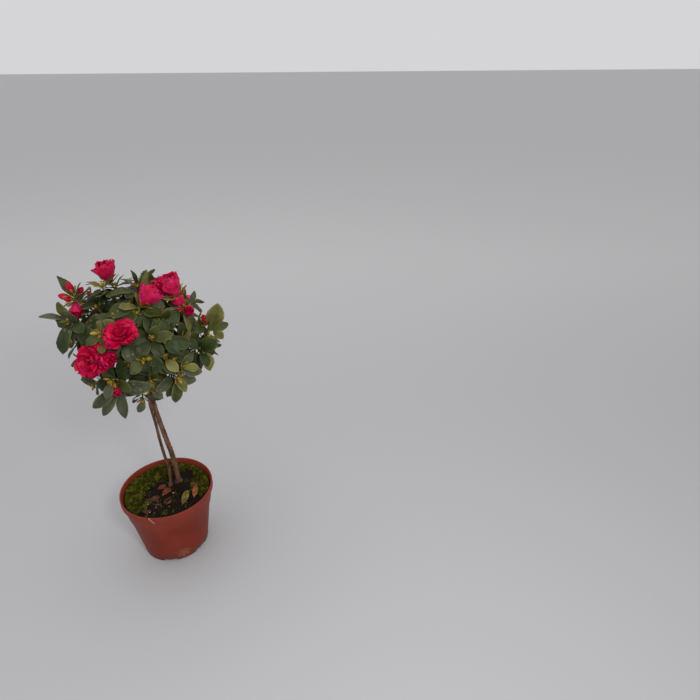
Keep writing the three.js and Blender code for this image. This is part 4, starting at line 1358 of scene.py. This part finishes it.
tones = []
for i, (owner, rosette, _, way, _, _, _, _, kind, share) in enumerate(leaves):
    tones.append(kind_of_leaf(owner, rosette, way, kind, share, i))
foliage_nodes = [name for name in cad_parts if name.startswith("foliage_")]
for tone, materials in LEAF_KINDS.items():
    chosen = [leaf for leaf, t in zip(leaves, tones) if t == tone]
    root, way, upper = (np.array([leaf[i] for leaf in chosen]) for i in (2, 3, 4))
    length, width, bend = (np.array([leaf[i] for leaf in chosen]) for i in (5, 6, 7))
    cast = rng.random((len(chosen), 5))
    surface = leaf_surfaces(root, way, upper, length, width * 1.06, bend, cast)
    heap = Heap()
    finishes = np.tile(leaf_finish, len(chosen))
    add_sheets(heap, surface, LEAF_THICKNESS, finishes, LEAF_ROWS, LEAF_COLUMNS)
    piece = heap.piece("leaves_" + tone, materials, "foliage", foliage_nodes if tone == "dark" else ())
    crease(piece, LEAF_ROWS, LEAF_COLUMNS, midrib=True)

# %% [markdown]
# ## Stems, boughs and twigs
#
# The bark is thin and brown, with long shallow cracks and small scars. At this size a relief in
# the mesh is honest work: rings of points along the curve are pushed in and out by noise that is
# drawn out lengthways. The twigs are thinner and smoother, and turn from brown to green.


# %% Finish and make the stems
def bark_finish(name, dark, light, green=0.0):
    finish = Finish(name, roughness=0.85)
    cracks = finish.noise(240, 5, stretch=(1, 1, 0.16))
    patches = finish.noise(45, 3)
    colour = finish.mixed(cracks.above(0.36, 0.66), dark, light)
    colour = finish.mixed(patches.above(0.55, 0.8) * 0.5, colour, rgb(118, 104, 88))
    finish.colour(finish.mixed(green, colour, rgb(96, 98, 48)) if green else colour)
    finish.bumps(cracks, 0.0012, 0.8)
    return finish.material


bark = bark_finish("bark_stem", rgb(64, 38, 26), rgb(122, 80, 54))
twig_bark = bark_finish("bark_twig", rgb(74, 50, 32), rgb(124, 90, 56), green=0.25)


def bumps_along(turns, height, breadth):
    """A bump in the middle of each whole turn: height times exp(-(offset / breadth)^2)."""
    return height * np.exp(-((turns % 1 - 0.5) / breadth) ** 2)


stem_heap = Heap()
share = np.linspace(0, 1, 300)
scars = bumps_along(share * 31, 0.18, 0.12)
stem_heap.tube(main_curve(share), main_radius(share) + scars, 40, relief=0.34, grain=3.2, seed=3)
stem_heap.tube(second_curve(share), second_radius(share) + scars * 0.7, 28, relief=0.24, grain=2.6, seed=5)
for i, curve in enumerate(bough_curves):
    share = np.linspace(0, 1, 44)
    radii = mix(BOUGH_RADIUS, 1.25, share) + bumps_along(share * 9 + i * 0.37, 0.16, 0.14)
    stem_heap.tube(curve(share), radii, 14, relief=0.16, grain=2.2, seed=7 + i)
wood_nodes = [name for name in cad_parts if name.endswith("_stem") or name.startswith("bough_")]
stem_heap.piece("stems_and_boughs", [bark], "bark", wood_nodes)

twig_heap = Heap()
for mass in masses:
    for j, shoot in enumerate(mass["shoots"]):
        share = np.linspace(0, 1, 16)
        radii = mix(1.25, TWIG_RADIUS, share) if j == 0 else TWIG_RADIUS * mix(1, 0.8, share)
        radii = radii + bumps_along(share * 5 + j * 0.3, 0.14, 0.16)
        twig_heap.tube(shoot["curve"](share), radii, 8, relief=0.08, grain=2, seed=60 + j)
twig_heap.piece("twigs", [twig_bark], "bark")

# %% [markdown]
# ## The flowers
#
# The flowers are double: rings of petals inside each other, each petal a broad fan with a
# crumpled rim. A petal is the same kind of surface as a leaf, with another outline and much more
# wave. The rings open less and less towards the middle. Half-open flowers are tight trumpets of
# the same petals, and buds are pointed drops with a twisted overlap.

# %% Shape a petal
PETAL_ROWS = np.array([0.0, 0.2, 0.42, 0.62, 0.78, 0.9, 1.0])
PETAL_COLUMNS = np.linspace(-1, 1, 8)


def fan(u):
    """Half the width of a petal: narrow at the foot, widest at three quarters, a rounded end."""
    foot = 0.22 + 0.78 * smooth(u, 0.02, 0.72)
    end = np.sqrt(np.maximum(0.0, 1 - np.maximum(0, (u - 0.66) / 0.345) ** 2))
    return foot * np.maximum(end, 0.12)


def petal_surfaces(root, way, upper, length, width, bend, cup, ruffle, cast):
    """Points over u and v for many petals. The midrib bends outwards, the sides cup upwards with
    v squared, and ruffles of several wavelengths grow towards the rim."""
    u = PETAL_ROWS[None, :, None, None]
    v = PETAL_COLUMNS[None, None, :, None]
    root, way, upper = (x[:, None, None, :] for x in (root, way, upper))
    measures = (length, width, bend, cup, ruffle)
    measures = (np.broadcast_to(x, len(cast))[:, None, None, None] for x in measures)
    length, width, bend, cup, ruffle = measures
    c = [cast[:, i][:, None, None, None] for i in range(6)]

    def swing(x, i):
        return np.sin(2 * math.pi * (x + c[i]))

    notch = 1 - 0.1 * np.exp(-((v / 0.22) ** 2)) * smooth(u, 0.7, 1)
    notch = notch + 0.05 * np.sin(5 * v + 6 * c[0]) * u**3
    middle, normal = midrib(root, way, upper, length * notch, bend, u)
    half = 0.5 * width * fan(u)
    curl = swing(v * 0.6, 1) * 0.9 + swing(v * 1.15, 2) * 0.7
    curl = curl + swing(v * 1.7, 3) * 0.35 * u + swing(u * 1.2, 4) * 0.3
    lift = half * cup * v**2 + ruffle * curl * u**2.2
    pull = ruffle * 0.5 * swing(v * 1.2, 5) * u**3
    return middle + np.cross(way, upper) * (v * half + pull) + normal * lift


# %% [markdown]
# Each kind of flower is a short list of rings: how many petals, how long and wide, how far they
# open from the axis, how they bend, cup and ruffle. The list is worked through for each flower,
# with every ring turned half a petal from the one before it.

# %% Rings of petals
RINGS = {
    "open": [
        (5, 18.5, 20.0, 66, 0.3, 0.1, 1.5, 0.0),
        (4, 17.0, 19.0, 50, 0.3, 0.1, 1.9, 0.6),
        (4, 15.0, 17.0, 34, 0.4, 0.15, 2.0, 1.0),
        (3, 13.5, 15.0, 18, 0.5, 0.2, 2.0, 1.4),
        (2, 12.0, 12.0, 6, 0.5, 0.3, 1.6, 1.6),
    ],
    "half_open": [
        (5, 20.0, 18.0, 36, -0.5, 0.5, 0.9, 0.0),
        (5, 19.5, 16.0, 28, -0.4, 0.5, 1.2, 0.4),
        (3, 18.5, 13.0, 14, -0.2, 0.5, 1.4, 0.8),
        (2, 17.5, 10.0, 4, 0.1, 0.5, 1.3, 1.0),
    ],
}


def ring_frames(base, axis, scale, count, opened, height, turn, inset):
    """Roots, ways and upper sides of a ring of petals round an axis."""
    first, second = square_to(axis)
    a = np.radians(turn + np.arange(count) * 360 / count)
    spoke = first * np.cos(a)[:, None] + second * np.sin(a)[:, None]
    way, upper = leaf_frame(axis, spoke, np.radians(opened))
    root = base + axis * height * scale + spoke * inset * scale
    return root, way, upper


PETAL_THICKNESS = 0.3
LOOSENESS = {"open": 30, "half_open": 12}
TONES_OF_RINGS = {
    "open": ("crimson", "crimson", "crimson", "deep", "deep"),
    "half_open": ("rose", "crimson", "crimson", "deep"),
}
petal_heaps = {"deep": Heap(), "crimson": Heap(), "rose": Heap()}
for number, flower in enumerate(flowers):
    base, axis, scale, kind = (flower[key] for key in ("base", "axis", "scale", "kind"))
    for ring, row in enumerate(RINGS.get(kind, [])):
        count, length, width, opened, bend, cup, ruffle, height = row
        cast = rng.random((count, 6))
        tilt = opened + (cast[:, 0] - 0.5) * LOOSENESS[kind]
        turn = ring * 36 + number * 47 + (cast[:, 1] - 0.5) * LOOSENESS[kind]
        frames = ring_frames(base, axis, scale, count, tilt, height, turn, 1.6 - 0.25 * ring)
        sizes = scale * (0.92 + 0.16 * cast[:, 2])
        bends = bend + (cast[:, 3] - 0.5) * 0.3
        surface = petal_surfaces(*frames, length * sizes, width * sizes, bends, cup, ruffle * scale, cast)
        heap = petal_heaps[TONES_OF_RINGS[kind][ring]]
        add_sheets(heap, surface, PETAL_THICKNESS, 0, PETAL_ROWS, PETAL_COLUMNS)


# %% [markdown]
# A petal is a thin wet tissue: crimson, deeper in the folds and brighter in clouds, with faint
# veins, and a satin gloss rather than a shine. Light goes into the tissue and comes out red
# again, so the folds glow instead of turning black, which is what Subsurface is for. The outer
# petals of half-open flowers are pinker, and the hearts of the flowers are the deepest.


# %% Finish the petals
def petal_finish(name, deep, bright):
    finish = Finish(name, roughness=0.5, Specular_IOR_Level=0.2)
    finish.feed("Subsurface Weight", 0.6)
    finish.feed("Subsurface Scale", 0.002)
    finish.feed("Subsurface Radius", (1.0, 0.12, 0.16))
    clouds = finish.noise(110, 4)
    veins = finish.noise(600, 3)
    finish.colour(finish.mixed(clouds.above(0.32, 0.7), deep, bright))
    finish.feed("Roughness", 0.44 + veins * 0.18)
    finish.bumps(veins * 0.6 + clouds, 0.0005, 0.5)
    return finish.material


PETALS = {
    "deep": petal_finish("petal_deep", rgb(154, 0, 38), rgb(186, 3, 54)),
    "crimson": petal_finish("petal_crimson", rgb(179, 0, 46), rgb(218, 6, 71)),
    "rose": petal_finish("petal_rose", rgb(178, 3, 54), rgb(214, 28, 90)),
}
for tone, heap in petal_heaps.items():
    petals = heap.piece("petals_" + tone, [PETALS[tone]], "foliage")
    crease(petals, PETAL_ROWS, PETAL_COLUMNS, midrib=False)

# %% [markdown]
# A bud is a drop of petals rolled round each other. Its surface is a profile turned about the
# axis, with ridges that wind up it like the edges of the rolled petals. The small closed buds
# are the same drop, covered with pointed scales.


# %% Make the buds
ROLLED = {"ridges": 3, "wind": 3.0, "depth": 0.18, "sides": 24, "rows": 22, "fullness": 1.2}
SCALY = {"ridges": 5, "wind": 7.0, "depth": 0.3, "sides": 15, "rows": 14}
HEART = {"ridges": 5, "wind": 6.0, "depth": 0.25, "sides": 12, "rows": 10}
BUD_RADIUS = 3.6


def drop(heap, base, axis, length, radius, finish, ridges, wind, depth, sides, rows, fullness=0.8):
    """A turned profile: radius times sin(pi t^fullness)^0.65 with ridges cos(n angle + wind t)."""
    first, second = square_to(axis)
    t = np.linspace(0.02, 0.985, rows)[:, None, None]
    a = np.arange(sides)[None, :, None] * 2 * math.pi / sides
    ridge = np.abs(np.cos((ridges * a + wind * t) / 2))
    r = radius * np.sin(math.pi * t**fullness) ** 0.65 * (1 - depth + depth * ridge)
    points = base + axis * (t * length) + first * (r * np.cos(a)) + second * (r * np.sin(a))
    uv = np.concatenate(np.broadcast_arrays(a / (2 * math.pi), t), -1)
    everything = np.concatenate([points.reshape(-1, 3), [base, base + axis * length]])
    uv = np.concatenate([uv.reshape(-1, 2), [[0, 0], [0, 1]]])
    heap.add(everything, *capped(rows, sides), finish=finish, uv=uv)


bud_heap = Heap()
for flower in flowers:
    if flower["kind"] == "bud":
        length, radius = BUD_LENGTH * flower["scale"], BUD_RADIUS * flower["scale"]
        drop(bud_heap, flower["base"], flower["axis"], length, radius, 0, **ROLLED)
bud_heap.piece("flower_buds", [PETALS["deep"]], "foliage")

# %% [markdown]
# Under each flower and round each bud stand small scales, yellow-green to rusty, some of them
# papery. They are tiny leaves in rings, opened only a little. The hearts of the leafy rosettes
# are a scaly bud with a few young leaves round it.

# %% Make the scales, the hearts and the stalks
SCALE_ROWS = np.array([0.0, 0.2, 0.45, 0.7, 0.9, 1.0])
SCALE_COLUMNS = np.array([-1.0, -0.45, 0.45, 1.0])
SCALE_THICKNESS = 0.25


def small_leaves(frames, length, width, bend, finish, seed):
    """Adds a ring of scales, each a little leaf of its own size."""
    cast = np.random.default_rng(seed).random((len(frames[0]), 5))
    sizes = 0.8 + 0.4 * cast[:, 3]
    measures = (length * sizes, width * sizes, np.full(len(cast), bend))
    surface = leaf_surfaces(*frames, *measures, cast, SCALE_ROWS, SCALE_COLUMNS)
    add_sheets(scale_heap, surface, SCALE_THICKNESS, finish, SCALE_ROWS, SCALE_COLUMNS)


# Each ring's count, length, width, angle from the axis and height along it
SCALE_RINGS = {
    "shut": [(5, 8.0, 3.4, 16, 0.2), (5, 6.0, 3.0, 10, 1.6), (4, 5.5, 2.6, 6, 3.0)],
    "bud": [(5, 6.5, 3.0, 18, -0.2), (4, 9.5, 3.6, 34, -1.5)],
    "open": [(5, 9.0, 4.0, 46, 0.0), (6, 13.0, 5.4, 52, -1.6)],
    "half_open": [(5, 9.0, 4.0, 34, 0.0), (6, 13.0, 5.4, 44, -1.6)],
    "heart": [(4, 6.0, 2.6, 14, 0.0), (4, 10.0, 4.2, 30, -1.2)],
}
scale_heap = Heap()
stalk_heap = Heap()
for number, flower in enumerate(flowers):
    base, axis, scale, kind = (flower[key] for key in ("base", "axis", "scale", "kind"))
    if kind == "shut":
        drop(scale_heap, base - axis, axis, 9 * scale, 2.2 * scale, 1, **SCALY)
    else:
        share = np.linspace(0, 1, 6)
        stalk_heap.tube(mix(flower["foot"], base + axis * 1.5, share[:, None]), mix(0.9, 1.35, share))
    for ring, (count, length, width, opened, height) in enumerate(SCALE_RINGS[kind]):
        tilt = np.full(count, opened + dice(number, ring)() * 8)
        frames = ring_frames(base, axis, scale, count, tilt, height, number * 31 + ring * 40, 0.9)
        small_leaves(frames, length * scale, width * scale, 0.4, (number + ring) % 3, number * 7 + ring)

for mass in masses:
    for j, shoot in enumerate(mass["shoots"]):
        if j == 0 and mass["kind"] != "none":
            continue
        axis = shoot["axis"]
        tip = shoot["tip"] - axis * 0.5
        seed = mass["owner"] * 10 + j
        size = 1.0 if j < 3 else 0.75
        drop(scale_heap, tip, axis, 6.5 * size, 1.7 * size, seed % 2, **HEART)
        for ring, (count, length, width, opened, height) in enumerate(SCALE_RINGS["heart"]):
            tilt = np.full(count, float(opened))
            frames = ring_frames(tip, axis, size, count, tilt, height, seed * 53 + ring * 45, 0.7)
            finish = ring * 2 if seed % 3 else 0
            small_leaves(frames, length * size, width * size, 0.5, finish, seed * 5 + ring)


def scale_finish(name, colour, other):
    finish = Finish(name, roughness=0.6, Specular_IOR_Level=0.16)
    clouds = finish.noise(260, 4)
    finish.colour(finish.mixed(clouds.above(0.35, 0.68), colour, other))
    finish.bumps(clouds, 0.0004, 0.5)
    return finish.material


scale_materials = [
    scale_finish("scale_olive", rgb(126, 106, 30), rgb(170, 146, 60)),
    scale_finish("scale_rust", rgb(134, 78, 24), rgb(186, 146, 72)),
    scale_finish("scale_green", rgb(90, 92, 32), rgb(124, 116, 44)),
]
scale_heap.piece("bud_scales", scale_materials, "foliage")
stalk_heap.piece("flower_stalks", [scale_materials[2]], "foliage")

# %% [markdown]
# ## The soil
#
# Peat fills the pot to just under the lip. It is nearly black and crumbly in front, and rises
# into cushions of moss at the left, the back and the right. The surface is a round grid: height
# over radius and azimuth, from the broad cushions of the solid plus lumps of five sizes. Its
# faces take the finish of moss or peat from the height of the cushion there.

# %% Shape the soil
# Each cushion's azimuth, half its angle and its share of the moss's height
MOSS = [(172, 58, 0.95), (112, 62, 1.0), (42, 58, 0.85), (222, 26, 0.45)]


def moss_at(x, y):
    """The height of the moss: cushions over azimuth, clear of the stems, rising outwards."""
    azimuth = np.degrees(np.arctan2(y, x))
    clear_of_stems = smooth(np.hypot(x - FOOT[0], y - FOOT[1]), 16, 30)
    cushions = []
    for middle, spread, share in MOSS:
        off = np.abs(np.mod(azimuth - middle + 540, 360) - 180) / spread
        cushions.append(share * np.maximum(0, 1 - off**2))
    return MOSS_HEIGHT * clear_of_stems * smooth(np.hypot(x, y), 14, 44) * np.max(cushions, axis=0)


def soil_height(x, y):
    """The top of the soil: cushions, lumps of five sizes, and a mound round the stems' feet."""
    flat = np.stack([x, y, 0 * x], -1)
    moss = moss_at(x, y)
    broad = lumps(flat, 11, 30) * 0.9 + lumps(flat, 7, 31) * 0.6 + lumps(flat, 3.2, 32) * 0.45
    crumbs = lumps(flat, 1.7, 33) * 0.45 + lumps(flat, 4.5, 34) * 0.5
    mound = 4.5 * np.exp(-(np.hypot(x - 15, y - 13) / 8) ** 2)
    edge = 1 - smooth(np.hypot(x, y), 48, 55)
    return SOIL_LEVEL - 0.9 + moss + mound + (broad + crumbs) * (0.35 + 0.65 * edge)


def on_moss(x, y):
    """How mossy a place is, from 0.02 to 1: the cushions, broken by bare patches."""
    flat = np.stack([x, y, 0 * x], -1)
    bare = 1.5 * lumps(flat, 9, 35) + 1.1 * lumps(flat, 4.5, 36)
    return np.clip((moss_at(x, y) - 0.9 + bare * 1.25) / 2.2, 0.02, 1)


soil_edge = collar_top - WALL - CLEAR - 0.75
ring = np.linspace(0.4, soil_edge, 88)[:, None]
turn = np.radians(np.arange(0, 360, 1.5))[None]
x, y = ring * np.cos(turn), ring * np.sin(turn)
top = np.stack([x, y, soil_height(x, y)], -1)[::-1]
wall = [(r - CLEAR - 0.15, z + (CLEAR if i == 0 else 0)) for i, (r, z) in enumerate(INSIDE[:3])]
skirt = np.array([(0.4, FLOOR + CLEAR), *wall])
low = [skirt[:, :1] * np.cos(turn), skirt[:, :1] * np.sin(turn), skirt[:, 1:]]
soil_points = np.concatenate([np.stack(np.broadcast_arrays(*low), -1), top])
quads, fans = capped(*soil_points.shape[:2])
middle = soil_points.reshape(-1, 3)[quads].mean(1)
mossy = (on_moss(middle[:, 0], middle[:, 1]) > 0.5) & (middle[:, 2] > 80)
ends = [[0, 0, FLOOR + CLEAR], [0, 0, top[-1, :, 2].mean()]]
soil_points = np.concatenate([soil_points.reshape(-1, 3), ends])
soil_heap = Heap()
soil_heap.add(soil_points, quads, fans, finish=np.r_[mossy, np.zeros(len(fans), bool)])


def ground_finish(name, dark, light, rough, grain):
    finish = Finish(name, roughness=rough, Specular_IOR_Level=0.12)
    patches = finish.noise(90, 4)
    fine = finish.noise(grain, 5)
    colour = finish.mixed(fine.above(0.34, 0.7), dark, light)
    finish.colour(finish.mixed(patches.above(0.5, 0.75) * 0.6, colour, toned(dark, 0.55)))
    finish.bumps(fine + patches, 0.002, 0.9)
    return finish.material


peat = ground_finish("peat", rgb(14, 11, 8), rgb(40, 29, 20), 0.92, 700)
moss_green = ground_finish("moss_ground", rgb(30, 32, 4), rgb(64, 62, 8), 0.95, 900)
soil_heap.piece("soil_top", [peat, moss_green], "soil", ["soil"])

# %% [markdown]
# Moss is a lawn of tiny shoots. Each tuft is a star of pointed blades, a few faces each, and
# thousands of them stand where the cushions are. Their places are dealt out by a seeded source
# and thinned where there is no moss.


# %% Make the moss
SPIKE_FACES = np.array([[0, 1, 3], [1, 2, 3], [2, 0, 3], [0, 2, 1]])
BLADES = 6
BLADE_RADIUS = 0.27


def spikes(foot, way, length, radius):
    """Three-sided spikes: three points round each foot and one at the tip."""
    first = unit(np.cross(way, np.array([0.31, 0.62, 0.72])))[:, None]
    second = np.cross(way, first[:, 0])[:, None]
    turn = np.radians([0, 120, 240])[:, None]
    low = foot[:, None] + (first * np.cos(turn) + second * np.sin(turn)) * radius
    return np.concatenate([low, (foot + way * length[:, None])[:, None]], 1)


def scattered(count, seed, wanted):
    """Seeded places on the soil, kept where a wish from 0 to 1 beats the dice."""
    source = np.random.default_rng(seed)
    r = np.sqrt(source.random(count)) * (soil_edge - 1.5)
    a = source.random(count) * 2 * math.pi
    x, y = r * np.cos(a), r * np.sin(a)
    clear = np.hypot(x - FOOT[0], y - FOOT[1]) > 8
    keep = clear & (source.random(count) < wanted(x, y))
    return np.stack([x, y, soil_height(x, y)], -1)[keep], source


moss_heap = Heap()
places, source = scattered(6200, 41, on_moss)
tall = 0.5 + 0.5 * lumps(places * [1, 1, 0], 5, 38)
tints = 1 + 1.6 * lumps(places * [1, 1, 0], 3.5, 39) + source.normal(0, 0.5, len(places))
tints = np.repeat(np.clip(np.round(tints), 0, 2), len(SPIKE_FACES))
for _ in range(BLADES):
    lean = source.normal(0, 0.6, (len(places), 3)) * [1, 1, 0]
    length = 0.9 + (1.2 + 2.2 * tall) * source.random(len(places))
    points = spikes(places - UP * 0.3, unit(lean + UP), length, BLADE_RADIUS)
    moss_heap.add(points, repeated(SPIKE_FACES, points), finish=tints)
moss_materials = [
    ground_finish("moss_dark", rgb(42, 44, 4), rgb(68, 68, 8), 0.9, 500),
    ground_finish("moss_olive", rgb(76, 76, 6), rgb(108, 106, 16), 0.9, 500),
    ground_finish("moss_yellow", rgb(118, 114, 26), rgb(150, 142, 52), 0.9, 500),
]
moss_heap.piece("moss_tufts", moss_materials, "soil")
print("Moss tufts:", len(places))

# %% [markdown]
# Small things lie on the peat: crumbs, white grains of perlite, brown fallen leaves, and two
# withered leaves that stand up in front of the stems at the right. Crumbs and grains are rough
# pebbles of twenty faces. The fallen leaves are the leaf surface again, more curled and lying.

# %% Make the crumbs, grains and fallen leaves
FALLEN_THICKNESS = 0.3
GOLD = (1 + 5**0.5) / 2
signs = list(product((-1, 1), repeat=2))
corners = [(0, a, b * GOLD) for a, b in signs]
corners += [(a, b * GOLD, 0) for a, b in signs] + [(b * GOLD, 0, a) for a, b in signs]
PEBBLE = unit(np.array(corners, float))
gaps = np.linalg.norm(PEBBLE[:, None] - PEBBLE[None], axis=-1)
near = (gaps > 0.1) & (gaps < 1.1)
trios = [t for t in combinations(range(12), 3) if all(near[a, b] for a, b in combinations(t, 2))]
PEBBLE_FACES = np.array([t if np.linalg.det(PEBBLE[list(t)]) > 0 else t[::-1] for t in trios])


def pebbles(heap, places, size, source, finish):
    """Rough pebbles: the twelve corners of a ball, each moved out or in by its own share."""
    shape = PEBBLE[None] * (1 + source.normal(0, 0.16, (len(places), 12, 1)))
    stretch = 0.7 + 0.6 * source.random((len(places), 1, 3))
    points = places[:, None] + shape * stretch * size[:, None, None]
    heap.add(points, repeated(PEBBLE_FACES, points), finish=finish)


def off_moss(x, y):
    return 1 - 0.85 * np.clip(on_moss(x, y), 0, 1)


litter = Heap()
places, source = scattered(1700, 43, off_moss)
pebbles(litter, places, 0.35 + 1.1 * source.random(len(places)) ** 2, source, 0)
places, source = scattered(30, 44, off_moss)
grains = np.array([(-18.4, -34.4, 0), (2.3, -20, 0), (15.9, -32.7, 0), (31, -20, 0), (24, -8, 0)], float)
grains[:, 2] = soil_height(grains[:, 0], grains[:, 1])
places = np.concatenate([places, grains])
pebbles(litter, places + UP * 0.3, 0.3 + 0.4 * source.random(len(places)), source, 1)
perlite = Finish("perlite", roughness=0.8)
perlite.colour(perlite.mixed(perlite.noise(500, 3), rgb(196, 190, 176), rgb(226, 222, 212)))
crumb = ground_finish("crumbs", rgb(18, 13, 10), rgb(52, 37, 27), 0.9, 600)
litter.piece("crumbs_and_grains", [crumb, perlite.material], "soil")

# Each lying leaf's place, azimuth, length, width, bend, lift and finish
LYING = [
    ((-6, -9), 60, 24, 13, 0.9, 0.25, 0),
    ((-22, -18), 20, 22, 12, 1.2, 0.15, 1),
    ((-12, -22), 330, 17, 8, 1.3, 0.1, 1),
    ((4, -25), 50, 11, 4.5, 1.2, 0.5, 0),
    ((-16, 4), 40, 15, 8, 1.0, 0.3, 0),
    ((-20, 10), 160, 18, 10, 1.2, 0.2, 1),
    ((28, 6), 60, 19, 10, 1.0, 0.25, 1),
    ((8, -8), 250, 19, 9, 1.1, 0.2, 1),
    ((44, 6), 80, 17, 8, 1.2, 0.2, 1),
    ((12, 40), 100, 19, 9, 0.9, 0.2, 1),
    ((-16, 36), 30, 18, 8, 1.1, 0.2, 1),
    ((-24, -36), 350, 17, 8, 1.1, 0.1, 1),
]
# Each standing leaf's foot, way, length, width and finish
STANDING = [
    ((26, -25.9, 84.5), (6.4, 13, 15), 20.5, 8.5, 3),
    ((38, -13, 84.5), (3, 13, 15.5), 18, 7.5, 2),
]
fallen = Heap()
rows = []
for (x, y), azimuth, length, width, bend, lift, tone in LYING:
    foot = np.array([x, y, soil_height(np.array(float(x)), np.array(float(y))) + 0.9])
    way = unit(pointing(azimuth, 0.0) + UP * lift)
    rows.append((foot, way, unit(UP - way * way[2]), length, width, bend, tone))
for foot, way, length, width, tone in STANDING:
    way = unit(np.array(way, float))
    upper = unit(np.cross(np.array([1.0, 0.3, 0]), way))
    rows.append((np.array(foot, float), way, upper, length, width, 0.5, tone))
root, way, upper = (np.array([r[i] for r in rows]) for i in range(3))
length, width, bend = (np.array([r[i] for r in rows], float) for i in (3, 4, 5))
cast = np.random.default_rng(47).random((len(rows), 5))
cast[:, 4] += 0.8
surface = leaf_surfaces(root, way, upper, length, width, bend, cast)
kinds = np.repeat([r[6] for r in rows], 2 * len(rims))
edged = np.tile(rims | tips, 2 * len(rows)) & (kinds == 3)
kinds = np.where(edged, 4, kinds)
add_sheets(fallen, surface, FALLEN_THICKNESS, kinds, LEAF_ROWS, LEAF_COLUMNS)
withered = [
    scale_finish("fallen_rust", rgb(88, 40, 20), rgb(122, 60, 34)),
    scale_finish("fallen_brown", rgb(54, 32, 25), rgb(90, 54, 40)),
    scale_finish("withered_tan", rgb(112, 54, 28), rgb(150, 96, 58)),
    scale_finish("withered_green", rgb(82, 78, 26), rgb(124, 106, 50)),
    scale_finish("withered_rim", rgb(120, 84, 46), rgb(150, 118, 72)),
]
leaves_lying = fallen.piece("fallen_leaves", withered, "soil")
crease(leaves_lying, LEAF_ROWS, LEAF_COLUMNS, midrib=True)
